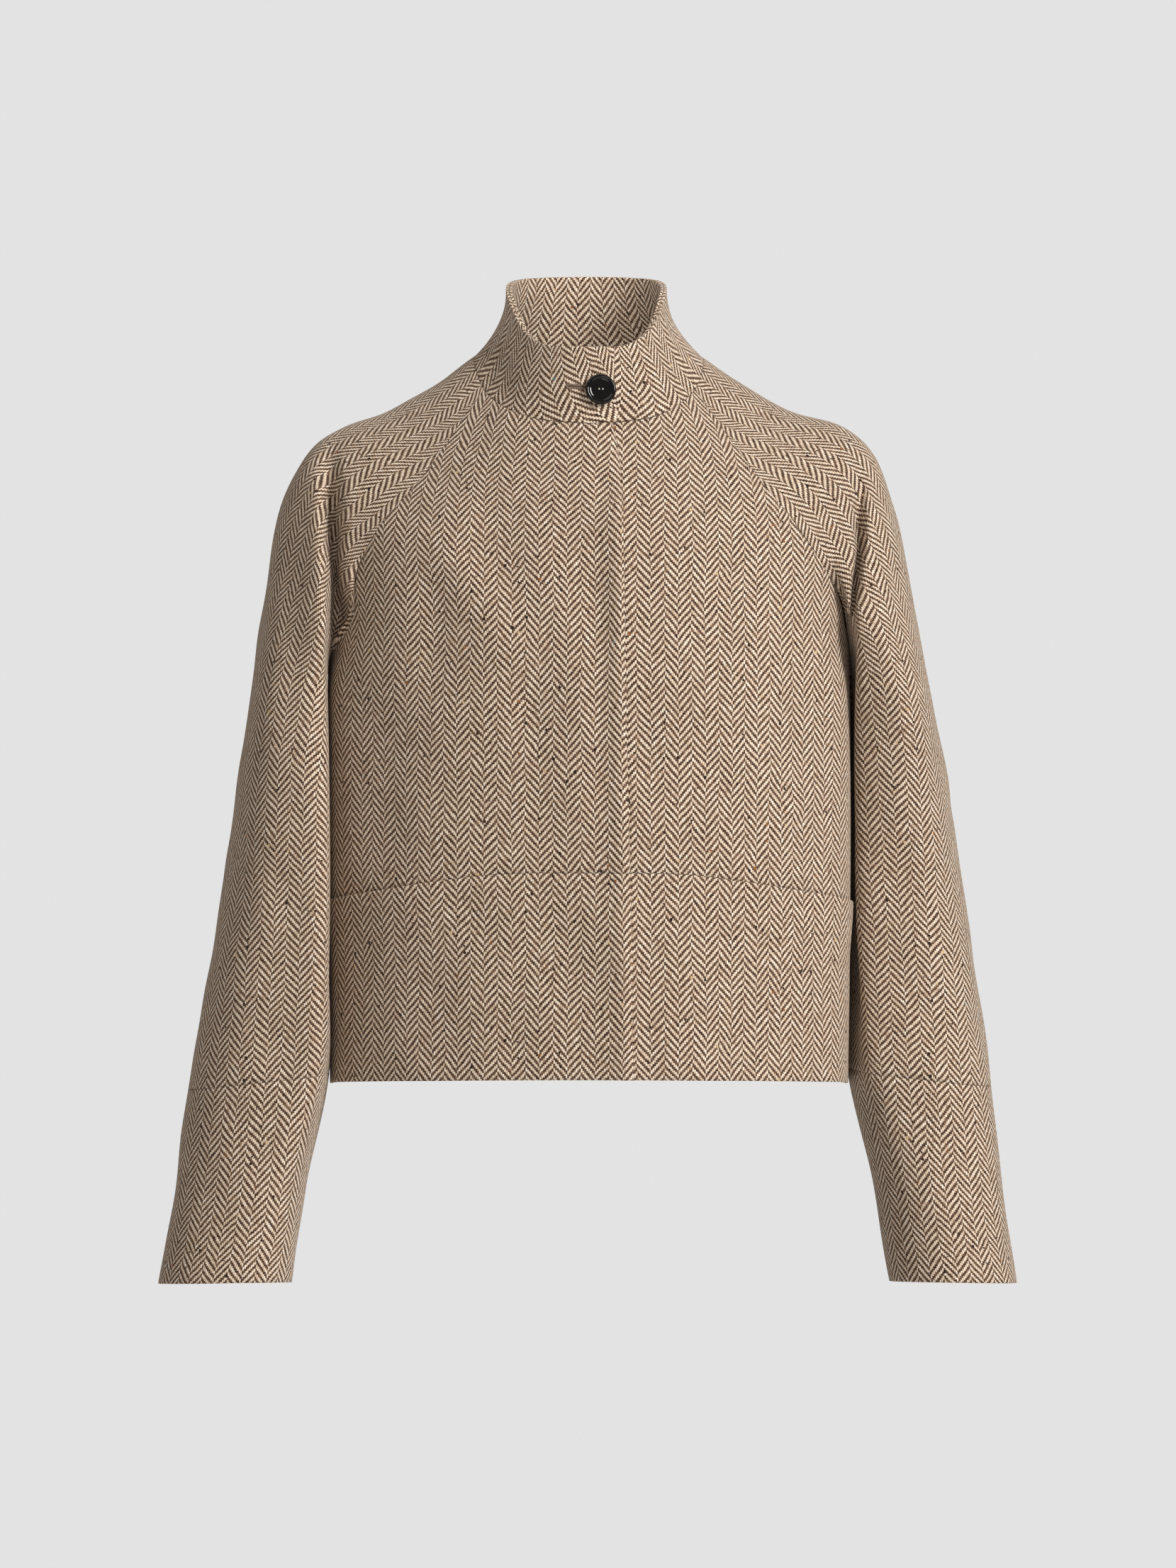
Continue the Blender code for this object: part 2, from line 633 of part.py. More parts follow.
def make_button(plastic):
    """Dished two-hole button, turned about its own axis and laid on the collar."""
    radius = BUTTON_DIAMETER / 2
    dish_radius = radius - BUTTON_RIM
    profile = (
        (0.0, BUTTON_THICKNESS - BUTTON_DISH),
        (0.55 * dish_radius, BUTTON_THICKNESS - BUTTON_DISH),
        (0.85 * dish_radius, BUTTON_THICKNESS - 0.8 * BUTTON_DISH),
        (dish_radius, BUTTON_THICKNESS - 0.2 * BUTTON_DISH),
        (dish_radius + 0.4 * BUTTON_RIM, BUTTON_THICKNESS),
        (radius - 0.3 * BUTTON_RIM, 0.9 * BUTTON_THICKNESS),
        (radius, 0.6 * BUTTON_THICKNESS),
        (0.92 * radius, 0.25 * BUTTON_THICKNESS),
        (0.55 * radius, 0.0),
        (0.0, 0.0),
    )
    mesh = bmesh.new()
    verts = [mesh.verts.new((r, 0, z)) for r, z in profile]
    edges = [mesh.edges.new(pair) for pair in zip(verts, verts[1:])]
    bmesh.ops.spin(mesh, geom=verts + edges, cent=(0, 0, 0), axis=(0, 0, 1), angle=2 * math.pi,
                   steps=BUTTON_SIDES, use_merge=True)
    bmesh.ops.remove_doubles(mesh, verts=mesh.verts, dist=1e-6)
    bmesh.ops.recalc_face_normals(mesh, faces=mesh.faces)
    button = solid_object("button", mesh, plastic)
    for side in SIDE_NAMES:
        cut_button_hole(button, side * BUTTON_HOLE_SPACING / 2)
    outward = normal_of(collar_point, BUTTON_BEARING, BUTTON_RISE)
    button.rotation_euler = outward.to_track_quat("Z", "Y").to_euler()
    button.location = collar_point(BUTTON_BEARING, BUTTON_RISE) + outward * BUTTON_STAND


def cut_button_hole(button, x):
    mesh = bmesh.new()
    bmesh.ops.create_cone(mesh, cap_ends=True, segments=10, radius1=BUTTON_HOLE / 2, radius2=BUTTON_HOLE / 2,
                          depth=4 * BUTTON_THICKNESS)
    bmesh.ops.translate(mesh, verts=mesh.verts, vec=(x, 0, 0))
    drill = solid_object(f"drill_{x:+.4f}", mesh, button.data.materials[0])
    drill.parent = button
    drill.hide_render = True
    drill.display_type = "WIRE"
    cut = button.modifiers.new(drill.name, "BOOLEAN")
    cut.operation = "DIFFERENCE"
    cut.object = drill


def main():
    for old in list(bpy.data.objects):
        bpy.data.objects.remove(old)
    tweed = fabric("herringbone tweed", TWEED_COLOUR, 0.92)
    plastic = fabric("black plastic", BUTTON_COLOUR, 0.18)
    make_fronts(tweed)
    make_back(tweed)
    make_sleeves(tweed)
    make_collar(tweed)
    make_button(plastic)


main()
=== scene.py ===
"""A cropped herringbone tweed jacket with a funnel collar, raglan sleeves and a lapped front, as worn.

Metres, +Z up. +X is the wearer's left and -Y is the front. The origin lies between the shoulders.
"""

from collections import namedtuple

import bpy
import numpy as np
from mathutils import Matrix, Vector


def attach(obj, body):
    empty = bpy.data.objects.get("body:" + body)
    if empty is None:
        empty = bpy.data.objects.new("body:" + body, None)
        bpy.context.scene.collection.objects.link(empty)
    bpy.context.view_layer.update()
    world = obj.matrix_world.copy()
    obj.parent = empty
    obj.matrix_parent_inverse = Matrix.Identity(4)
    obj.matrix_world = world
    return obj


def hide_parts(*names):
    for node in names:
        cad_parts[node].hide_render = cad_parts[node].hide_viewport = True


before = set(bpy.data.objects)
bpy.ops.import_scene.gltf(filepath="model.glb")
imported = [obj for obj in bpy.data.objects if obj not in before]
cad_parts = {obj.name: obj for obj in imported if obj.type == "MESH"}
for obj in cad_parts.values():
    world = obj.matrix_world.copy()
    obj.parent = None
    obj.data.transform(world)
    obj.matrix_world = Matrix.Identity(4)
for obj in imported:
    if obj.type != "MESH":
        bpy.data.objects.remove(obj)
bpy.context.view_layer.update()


# Back
# One cut of wool tweed from the neck to the hem, with no seam down its centre. It is sewn to the sleeves
# along the raglan seams, to the fronts down the sides and to the collar round the neck.

CLOTH = 0.0020
SEAM_GAP = 0.0003
PROBE = 0.0005
STITCH_STEP = 0.004
RIM_STEPS = 6
RIM_BULGE = 0.25
SEAM_OPEN = 0.0001
EDGE_SHARES = (1.0, 0.5, 0.2)
MIRROR = np.array((-1.0, 1.0, 1.0))

UNDERARM = 8
UNDERARM_HEIGHT = -0.222
HEM_SIDE_HEIGHT = -0.509
HEM_FRONT_RISE = 0.008
HEM_BACK_DROP = 0.002
NECK_HALF_WIDTH = 0.081
NECK_FRONT = 0.084
NECK_BACK = 0.070
BACK_SEAM_BEARING = np.radians(130)
SQUARENESS = 0.060
CORNER_FULLNESS = 0.034
CORNER_TURN = np.radians(64)
CORNER_SPREAD = np.radians(11)
CORNER_HEIGHTS = (-0.183, -0.243)
SIDE_REACH = 0.1845
SIDE_EASE = 0.014
UNDERARM_RISE = 0.040
NECK_PULL_START = 0.3
CREASE_RISE = 0.35
CREASE_FALL = 0.6
CREASE_FACING = (0.1, 0.5)

# Each row of a table is one section, and the first column is what the others are read by
BodySection = namedtuple("BodySection", "height half_width front_depth back_depth")
BODY = (
    BodySection(-0.510, 0.1825, 0.142, 0.115),
    BodySection(-0.400, 0.1840, 0.142, 0.116),
    BodySection(-0.300, 0.1845, 0.140, 0.119),
    BodySection(-0.222, 0.1840, 0.136, 0.122),
    BodySection(-0.160, 0.1830, 0.126, 0.119),
    BodySection(-0.100, 0.1810, 0.107, 0.110),
    BodySection(-0.048, 0.1780, 0.084, 0.096),
    BodySection(0.012, 0.1730, 0.050, 0.071),
)

NeckSection = namedtuple("NeckSection", "bearing_deg seam_height collar_height flare")
NECK = (
    NeckSection(0, -0.0480, 0.0060, 1.05),
    NeckSection(30, -0.0435, 0.0080, 1.10),
    NeckSection(50, -0.0335, 0.0180, 1.45),
    NeckSection(66, -0.0215, 0.0350, 1.85),
    NeckSection(78, -0.0080, 0.0460, 2.15),
    NeckSection(90, 0.0010, 0.0520, 2.20),
    NeckSection(115, 0.0085, 0.0590, 2.00),
    NeckSection(150, 0.0120, 0.0630, 1.60),
    NeckSection(180, 0.0125, 0.0640, 1.50),
)

# Raglan seams from the neck, station 0, to the underarm, station 8. Turns are counted from the centre
# front and the centre back. A reach lies along the cloth, and a swing to the front or the back.
RaglanSection = namedtuple(
    "RaglanSection", "station front_turn front_height back_turn back_height reach swing"
)
RAGLAN = (
    RaglanSection(0, 24.4, -0.0215, 20.1, 0.0105, 0.024, 0.000),
    RaglanSection(1, 28.3, -0.0400, 22.9, -0.0080, 0.026, 0.000),
    RaglanSection(2, 33.0, -0.0620, 26.4, -0.0300, 0.030, 0.000),
    RaglanSection(3, 39.2, -0.0880, 31.3, -0.0570, 0.034, 0.000),
    RaglanSection(4, 46.6, -0.1110, 37.7, -0.0850, 0.036, 0.002),
    RaglanSection(5, 54.0, -0.1350, 45.2, -0.1130, 0.032, 0.010),
    RaglanSection(6, 62.3, -0.1620, 54.5, -0.1470, 0.022, 0.030),
    RaglanSection(7, 74.0, -0.1940, 67.5, -0.1870, 0.008, 0.064),
    RaglanSection(8, 90.0, UNDERARM_HEIGHT, 90.0, UNDERARM_HEIGHT, 0.000, 0.100),
)

# Creases are soft troughs, or ridges where the depth is less than nothing, laid on one side of the jacket.
# Start and end are places across and up as that side is looked at.
Crease = namedtuple("Crease", "view start end bow width depth")
VIEWS = {
    "front": (np.array((0.0, -1.0, 0.0)), 0),
    "back": (np.array((0.0, 1.0, 0.0)), 0),
    "left": (np.array((1.0, 0.0, 0.0)), 1),
    "right": (np.array((-1.0, 0.0, 0.0)), 1),
}
BACK_CREASES = (
    Crease("back", (0.070, -0.070), (0.020, -0.210), 0.012, 0.022, 0.0022),
    Crease("back", (-0.080, -0.060), (-0.036, -0.235), -0.010, 0.026, 0.0026),
    Crease("back", (0.150, -0.215), (0.075, -0.330), 0.014, 0.016, 0.0018),
    Crease("back", (-0.152, -0.210), (-0.094, -0.300), -0.012, 0.014, 0.0020),
    Crease("back", (0.052, -0.290), (0.070, -0.520), 0.006, 0.030, 0.0024),
    Crease("back", (-0.030, -0.340), (-0.046, -0.530), -0.008, 0.026, 0.0018),
    Crease("back", (0.010, -0.020), (-0.012, -0.110), 0.004, 0.018, -0.0012),
)

# Slow unevenness of hanging wool, the same for all panels so that the seams still meet
Wave = namedtuple("Wave", "length_x length_y length_z phase height")
WAVES = (
    Wave(0.140, 0.190, 0.310, 0.4, 0.00045),
    Wave(-0.090, 0.160, 0.210, 2.1, 0.00035),
    Wave(0.210, -0.120, 0.085, 4.0, 0.00030),
    Wave(-0.062, 0.093, -0.130, 5.3, 0.00022),
    Wave(0.047, 0.071, 0.066, 1.2, 0.00014),
)


class Table:
    """Smooth curves through a table's columns, carried on straight past its ends."""

    def __init__(self, rows):
        columns = np.array(rows, float).T
        self.keys = columns[0]
        self.columns = dict(zip(rows[0]._fields, columns))

    def read(self, key, column):
        keys, values = self.keys, self.columns[column]
        low = np.maximum(np.arange(len(keys)) - 1, 0)
        high = np.minimum(np.arange(len(keys)) + 1, len(keys) - 1)
        slopes = (values[high] - values[low]) / (keys[high] - keys[low])
        key = np.asarray(key, float)
        held = np.clip(key, keys[0], keys[-1])
        index = np.clip(np.searchsorted(keys, held, side="right") - 1, 0, len(keys) - 2)
        span = keys[index + 1] - keys[index]
        t = (held - keys[index]) / span
        inside = (
            values[index] * (1 + 2 * t) * (1 - t) ** 2
            + slopes[index] * span * t * (1 - t) ** 2
            + values[index + 1] * t * t * (3 - 2 * t)
            + slopes[index + 1] * span * t * t * (t - 1)
        )
        return inside + np.where(key < held, slopes[0], slopes[-1]) * (key - held)


body = Table(BODY)
neck = Table(NECK)
raglan = Table(RAGLAN)


def mix(start, end, share):
    return start + (end - start) * share


def ease(low, high, value):
    """0 up to low, 1 from high on, and smooth between."""
    t = np.clip((value - low) / (high - low), 0.0, 1.0)
    return t * t * (3 - 2 * t)


def unit(vectors):
    return vectors / np.maximum(np.linalg.norm(vectors, axis=-1, keepdims=True), 1e-12)


def stations(*stops):
    """Values from stop to stop. Between two stops stands the length of cloth, which sets their number."""
    values = [np.array(stops[:1], float)]
    for start, length, end in zip(stops[:-2:2], stops[1::2], stops[2::2]):
        count = max(round(length / STITCH_STEP), 2)
        values.append(np.linspace(start, end, count + 1)[1:])
    return np.concatenate(values)


def body_point(height, turn):
    """Points of the body's outside. Turn runs from the centre front, by the wearer's left, to the back."""
    height, turn = np.broadcast_arrays(height, turn)
    fullness = 1 + SQUARENESS * np.sin(2 * turn) ** 2
    off_corner = (np.abs(turn) - CORNER_TURN) / CORNER_SPREAD
    fullness = fullness + CORNER_FULLNESS * np.exp(-off_corner * off_corner) * ease(*CORNER_HEIGHTS, height)
    depth = np.where(np.cos(turn) > 0, body.read(height, "front_depth"), body.read(height, "back_depth"))
    across = body.read(height, "half_width") * fullness * np.sin(turn)
    return np.stack((across, -depth * fullness * np.cos(turn), height), axis=-1)


def neck_point(bearing):
    """Points of the seam between body and collar."""
    depth = np.where(np.cos(bearing) > 0, NECK_FRONT, NECK_BACK)
    height = neck.read(np.abs(np.degrees(bearing)), "seam_height")
    return np.stack((NECK_HALF_WIDTH * np.sin(bearing), -depth * np.cos(bearing), height), axis=-1)


def hem_height(turn):
    """The hem rises to the centre front and drops a little to the centre back."""
    lift = np.where(np.cos(turn) > 0, HEM_FRONT_RISE, HEM_BACK_DROP)
    return HEM_SIDE_HEIGHT + lift * np.cos(turn)


def neck_pull(points, share, seam_points, sheet_top):
    """Draws the top of a panel onto the neck seam."""
    return points + (seam_points - sheet_top) * ease(NECK_PULL_START, 1.0, share)[..., None]


def back_point(across, station):
    """Back panel. Across runs from the left side or raglan seam, 0, to the right one, 1.
    Station counts down from the hem, 9, past the underarm, 8, to the neck, 0."""
    side = 2 * across - 1
    low_turn = np.pi + side * np.pi / 2
    below = body_point(mix(UNDERARM_HEIGHT, hem_height(low_turn), station - UNDERARM), low_turn)
    share = 1 - station / UNDERARM
    turn = np.pi + side * np.radians(raglan.read(station, "back_turn"))
    bearing = (np.pi - np.abs(side) * (np.pi - BACK_SEAM_BEARING)) * np.where(side > 0, -1, 1)
    seam_points = neck_point(bearing)
    dip = seam_points[..., 2] - neck_point(BACK_SEAM_BEARING)[2]
    above = body_point(raglan.read(station, "back_height") + dip * share * share, turn)
    top_turn = np.pi + side * np.radians(RAGLAN[0].back_turn)
    sheet_top = body_point(RAGLAN[0].back_height + dip, top_turn)
    above = neck_pull(above, share, seam_points, sheet_top)
    return np.where((station >= UNDERARM)[..., None], below, above)


def crease_relief(points, normals, creases):
    """How far creases and the cloth's own unevenness stand out of a surface. The cloth lies flat where the
    sleeves hang against the sides."""
    out = np.zeros(points.shape[:-1])
    for wave in WAVES:
        lengths = np.array((wave.length_x, wave.length_y, wave.length_z))
        out += wave.height * np.sin(2 * np.pi * (points / lengths).sum(axis=-1) + wave.phase)
    off_side = (np.abs(points[..., 0]) - SIDE_REACH) / SIDE_EASE
    out *= 1 - np.exp(-off_side * off_side) * ease(UNDERARM_RISE, 0.0, points[..., 2] - UNDERARM_HEIGHT)
    for crease in creases:
        facing, axis = VIEWS[crease.view]
        start, end = np.array(crease.start), np.array(crease.end)
        length = np.linalg.norm(end - start)
        lengthwise = (end - start) / length
        place = np.stack((points[..., axis], points[..., 2]), axis=-1) - start
        t = place @ lengthwise / length
        aside = place[..., 0] * lengthwise[1] - place[..., 1] * lengthwise[0] + crease.bow * 4 * t * (1 - t)
        fade = ease(0.0, CREASE_RISE, t) * (1 - ease(CREASE_FALL, 1.0, t))
        fade = fade * ease(*CREASE_FACING, normals @ facing)
        out -= crease.depth * np.exp(-((aside / crease.width) ** 2)) * fade
    return out


def body_grain(points, centre_column, centre_offset):
    """Places across and along the weave: across is counted from the centre line round the body, and along
    is counted down that line."""
    stretch = np.linalg.norm(np.diff(points, axis=1), axis=-1)
    across = np.concatenate((np.zeros((len(points), 1)), np.cumsum(stretch, axis=1)), axis=1)
    across = across - across[:, centre_column:centre_column + 1] + np.reshape(centre_offset, (-1, 1))
    line = points[np.argsort(-points[:, centre_column, 2]), centre_column]
    down = np.concatenate(((0.0,), np.cumsum(np.linalg.norm(np.diff(line, axis=0), axis=-1))))
    along = np.interp(-points[..., 2], -line[:, 2], down)
    past = np.clip(points[..., 2], line[-1, 2], line[0, 2]) - points[..., 2]
    return np.stack((across, along + past), axis=-1)


def grid_normals(points):
    return unit(np.cross(np.gradient(points, axis=1), np.gradient(points, axis=0)))


def cloth_shell(name, points, normals, grain, reversed_faces, material):
    """Closed thin shell on a grid of outer points, one cloth thick, with its edges turned round."""
    half = CLOTH / 2
    rows, columns = points.shape[:2]
    inset = np.zeros_like(points)
    for ring, share in enumerate(EDGE_SHARES):
        inset[:, ring] += share * unit(points[:, 1] - points[:, 0])
        inset[:, -1 - ring] += share * unit(points[:, -2] - points[:, -1])
        inset[ring] += share * unit(points[1] - points[0])
        inset[-1 - ring] += share * unit(points[-2] - points[-1])
    outer = points + inset * (SEAM_OPEN / 2 + half * RIM_BULGE)
    index = np.arange(rows * columns).reshape(rows, columns)
    loop = np.concatenate((index[0, :-1], index[:-1, -1], index[-1, :0:-1], index[:0:-1, 0]))
    flat_outer, flat_normals = outer.reshape(-1, 3), normals.reshape(-1, 3)
    middle = flat_outer[loop] - flat_normals[loop] * half
    inside = np.concatenate((index[1, :-1], index[:-1, -2], index[-2, :0:-1], index[:0:-1, 1]))
    flat_grain = grain.reshape(-1, 2)
    spacing = np.linalg.norm(flat_outer[loop] - flat_outer[inside], axis=-1, keepdims=True)
    grain_on = (flat_grain[loop] - flat_grain[inside]) / spacing
    verts, places = [flat_outer], [flat_grain]
    rings = [loop]
    count = rows * columns
    for angle in np.linspace(np.pi / 2, -np.pi / 2, RIM_STEPS + 1)[1:-1]:
        turned = flat_normals[loop] * np.sin(angle) - inset.reshape(-1, 3)[loop] * np.cos(angle) * RIM_BULGE
        verts.append(middle + turned * half)
        places.append(flat_grain[loop] + grain_on * half * (np.pi / 2 - angle))
        rings.append(np.arange(count, count + len(loop)))
        count += len(loop)
    verts.append(flat_outer - flat_normals * CLOTH)
    places.append(flat_grain)
    rings.append(loop + count)
    quads = np.stack((index[:-1, :-1], index[:-1, 1:], index[1:, 1:], index[1:, :-1]), axis=-1).reshape(-1, 4)
    faces = [quads, quads[:, ::-1] + count]
    for upper, lower in zip(rings, rings[1:]):
        faces.append(np.stack((np.roll(upper, -1), upper, lower, np.roll(lower, -1)), axis=-1))
    faces = np.concatenate(faces)
    if reversed_faces:
        faces = faces[:, ::-1]
    mesh = bpy.data.meshes.new(name)
    mesh.from_pydata(np.concatenate(verts).tolist(), [], faces.tolist())
    layer = mesh.uv_layers.new(name="grain")
    layer.data.foreach_set("uv", np.concatenate(places)[faces.ravel()].astype(np.float32).ravel())
    mesh.shade_smooth()
    mesh.materials.append(material)
    piece = bpy.data.objects.new(name, mesh)
    bpy.context.scene.collection.objects.link(piece)
    return piece


def linear(hex_colour):
    """Linear colour of an sRGB hex value."""
    channels = [int(hex_colour[i:i + 2], 16) / 255 for i in (1, 3, 5)]
    return (*[c / 12.92 if c <= 0.04045 else ((c + 0.055) / 1.055) ** 2.4 for c in channels], 1.0)


def add_node(tree, kind, inputs, **settings):
    """Adds a node with its settings, and sets or links each of the inputs."""
    node = tree.nodes.new("ShaderNode" + kind)
    for name, value in settings.items():
        setattr(node, name, value)
    for socket, value in inputs.items():
        if isinstance(value, bpy.types.NodeSocket):
            tree.links.new(value, node.inputs[socket])
        else:
            node.inputs[socket].default_value = value
    return node.outputs


def noise(tree, place, length, detail):
    """Soft noise whose lumps lie about a length apart."""
    return add_node(tree, "TexNoise", {"Vector": place, "Scale": 1 / length, "Detail": detail})


# Herringbone wool tweed, a 2/2 twill of cream warp and brown weft that turns back every 8 ends and breaks
# there. Each float shows as a slanted fleck of its own tone, so the eye sees light and dark stripes in
# zigzags, a little fuzzy, with dark, rust and pale nubs spun in by chance. The middle of a float is counted
# in steps of the twill, and lots keep the tones of neighbouring yarns apart.
END_SPACING = 0.00121
PICK_SPACING = 0.00135
ENDS_A_STRIPE = 8
TWILL_STEPS = 4
WARP_MIDDLE, WEFT_MIDDLE = 1.0, 2.5
END_LOTS, PICK_LOTS = 7.31, 5.77
SLUB_LENGTH = 0.011
NUB_ACROSS = 0.0048
NUB_ALONG = 0.0060
NUB_RADIUS = 0.22
WANDER_LENGTH = 0.030
WANDER = 0.0020
HAIR_LENGTH = 0.0008
HAIR = 0.0009
YARN_RELIEF = 0.0005
YARN_BUMP = 0.6
HAIR_RELIEF = 0.6
FLOAT_ROUND = 2.6
FLOAT_DIVE = 0.45
SHADE_LOW, SHADE_RANGE = 0.50, 0.40
SLUB_LOW, SLUB_HIGH = 0.28, 0.72
FLOAT_LOT_SHARE = 0.38
NUB_RARITY = 0.55
WARP_WOOLS = ((0.0, "#b1947a"), (0.30, "#d7bea4"), (0.62, "#ecd8c1"), (1.0, "#fdf0de"))
WEFT_WOOLS = ((0.0, "#29190f"), (0.30, "#4b3424"), (0.70, "#6b513f"), (1.0, "#93755b"))
NUB_WOOLS = ((0.0, "#2a1c14"), (0.55, "#3f2c20"), (0.72, "#9c6338"), (0.83, "#d9b98a"), (0.985, "#5d8686"))

tweed_material = bpy.data.materials.new("herringbone wool tweed")
tweed_material.use_nodes = True
tweed = tweed_material.node_tree
grain_map = add_node(tweed, "UVMap", {}, uv_map="grain")[0]
wander = noise(tweed, grain_map, WANDER_LENGTH, detail=3.0)["Color"]
wander = add_node(tweed, "VectorMath", {0: wander, 1: (0.5, 0.5, 0.5)}, operation="SUBTRACT")[0]
wander = add_node(tweed, "VectorMath", {0: wander, "Scale": 2 * WANDER}, operation="SCALE")[0]
hair = noise(tweed, grain_map, HAIR_LENGTH, detail=2.0)
hair_shift = add_node(tweed, "VectorMath", {0: hair["Color"], 1: (0.5, 0.5, 0.5)}, operation="SUBTRACT")[0]
hair_shift = add_node(tweed, "VectorMath", {0: hair_shift, "Scale": HAIR}, operation="SCALE")[0]
yarn_place = add_node(tweed, "VectorMath", {0: grain_map, 1: wander}, operation="ADD")[0]
yarn_place = add_node(tweed, "VectorMath", {0: yarn_place, 1: hair_shift}, operation="ADD")[0]
split = add_node(tweed, "SeparateXYZ", {0: yarn_place})

# Each row is one step of the draft: its name, what is done, and the earlier steps or numbers it is done to
weave = {"across": split[0], "along": split[1], "hair": hair[0]}
DRAFT = (
    ("ends", "DIVIDE", "across", END_SPACING),
    ("end", "FLOOR", "ends", 0),
    ("in_end", "FRACT", "ends", 0),
    ("picks", "DIVIDE", "along", PICK_SPACING),
    ("pick", "FLOOR", "picks", 0),
    ("in_pick", "FRACT", "picks", 0),
    ("stripes", "DIVIDE", "end", ENDS_A_STRIPE),
    ("stripe", "FLOOR", "stripes", 0),
    ("is_odd", "FLOORED_MODULO", "stripe", 2),
    ("turn_back", "MULTIPLY", "is_odd", 2),
    ("slant", "SUBTRACT", 1, "turn_back"),
    ("in_stripe", "FLOORED_MODULO", "end", ENDS_A_STRIPE),
    ("leaning", "MULTIPLY", "slant", "in_stripe"),
    ("broken", "ADD", "leaning", "is_odd"),
    ("diagonal", "ADD", "broken", "pick"),
    ("step", "FLOORED_MODULO", "diagonal", TWILL_STEPS),
    ("warp_up", "LESS_THAN", "step", TWILL_STEPS / 2 - 0.5),
    ("off_end", "SUBTRACT", "in_end", 0.5),
    ("end_side", "MULTIPLY", "off_end", "off_end"),
    ("off_pick", "SUBTRACT", "in_pick", 0.5),
    ("pick_side", "MULTIPLY", "off_pick", "off_pick"),
    ("warp_run", "ADD", "step", "in_pick"),
    ("warp_off", "SUBTRACT", "warp_run", WARP_MIDDLE),
    ("warp_dive", "MULTIPLY", "warp_off", "warp_off"),
    ("lean_off", "MULTIPLY", "slant", "off_end"),
    ("weft_run", "ADD", "step", "lean_off"),
    ("weft_off", "SUBTRACT", "weft_run", WEFT_MIDDLE),
    ("weft_dive", "MULTIPLY", "weft_off", "weft_off"),
    ("side_change", "SUBTRACT", "end_side", "pick_side"),
    ("side_taken", "MULTIPLY", "side_change", "warp_up"),
    ("side", "ADD", "pick_side", "side_taken"),
    ("dive_change", "SUBTRACT", "warp_dive", "weft_dive"),
    ("dive_taken", "MULTIPLY", "dive_change", "warp_up"),
    ("dive", "ADD", "weft_dive", "dive_taken"),
    ("side_fall", "MULTIPLY", "side", FLOAT_ROUND),
    ("dive_fall", "MULTIPLY", "dive", FLOAT_DIVE),
    ("fall", "ADD", "side_fall", "dive_fall"),
    ("height", "SUBTRACT", 1.0, "fall"),
    ("hair_relief", "MULTIPLY", "hair", HAIR_RELIEF),
    ("relief", "ADD", "height", "hair_relief"),
    # The relief also darkens the colour: painted shade at the sides of each float and where it dives under
    ("shade_range", "MULTIPLY", "relief", SHADE_RANGE),
    ("shade", "ADD", "shade_range", SHADE_LOW),
    ("slub_along", "DIVIDE", "along", SLUB_LENGTH),
    ("slub_across", "DIVIDE", "across", SLUB_LENGTH),
    ("end_apart", "MULTIPLY", "end", END_LOTS),
    ("pick_apart", "MULTIPLY", "pick", PICK_LOTS),
)
for step_name, operation, *parts in DRAFT:
    inputs = {i: weave[part] if isinstance(part, str) else part for i, part in enumerate(parts)}
    weave[step_name] = add_node(tweed, "Math", inputs, operation=operation)[0]

# Tones drift along each yarn, jump a little from float to float, and nubs sit where they were spun in
crossing = add_node(tweed, "CombineXYZ", {0: weave["end"], 1: weave["pick"]})[0]
float_lot = add_node(tweed, "TexWhiteNoise", {"Vector": crossing}, noise_dimensions="2D")["Value"]
nub_place = add_node(
    tweed, "VectorMath", {0: yarn_place, 1: (1 / NUB_ACROSS, 1 / NUB_ALONG, 0)}, operation="MULTIPLY"
)[0]
nub = add_node(tweed, "TexVoronoi", {"Vector": nub_place, "Scale": 1.0})
nub_lot = add_node(tweed, "SeparateColor", {0: nub["Color"]})
nub_size = add_node(tweed, "MapRange", {0: nub_lot[0], 1: NUB_RARITY, 2: 1.0, 3: 0.0, 4: NUB_RADIUS})[0]
is_nub = add_node(tweed, "Math", {0: nub["Distance"], 1: nub_size}, operation="LESS_THAN")[0]
tones = {"nub": nub_lot[1]}
for yarn, apart, along in (("warp", "end_apart", "slub_along"), ("weft", "pick_apart", "slub_across")):
    slub_place = add_node(tweed, "CombineXYZ", {0: weave[apart], 1: weave[along]})[0]
    slub = noise(tweed, slub_place, 1.0, detail=2.0)[0]
    drift = add_node(tweed, "MapRange", {0: slub, 1: SLUB_LOW, 2: SLUB_HIGH})[0]
    tones[yarn] = add_node(tweed, "Mix", {0: FLOAT_LOT_SHARE, 2: drift, 3: float_lot})[0]
colours = {}
for yarn, wools in (("warp", WARP_WOOLS), ("weft", WEFT_WOOLS), ("nub", NUB_WOOLS)):
    ramp = tweed.nodes.new("ShaderNodeValToRGB")
    spots = ramp.color_ramp.elements
    spots[0].position, spots[-1].position = wools[0][0], wools[-1][0]
    for place, colour in wools[1:-1]:
        spots.new(place)
    for spot, (place, colour) in zip(spots, wools):
        spot.color = linear(colour)
    ramp.color_ramp.interpolation = "CONSTANT" if yarn == "nub" else "LINEAR"
    tweed.links.new(tones[yarn], ramp.inputs[0])
    colours[yarn] = ramp.outputs[0]
yarn_colour = add_node(
    tweed, "Mix", {0: weave["warp_up"], 6: colours["weft"], 7: colours["warp"]}, data_type="RGBA"
)[2]
flecked = add_node(tweed, "Mix", {0: is_nub, 6: yarn_colour, 7: colours["nub"]}, data_type="RGBA")[2]
# Painted shade: the yarn colour is multiplied down where the relief is low
shaded = add_node(
    tweed, "Mix", {0: 1.0, 6: flecked, 7: weave["shade"]}, data_type="RGBA", blend_type="MULTIPLY"
)[2]
bump = add_node(tweed, "Bump", {"Strength": YARN_BUMP, "Distance": YARN_RELIEF, "Height": weave["relief"]})[0]
wool = tweed.nodes["Principled BSDF"]
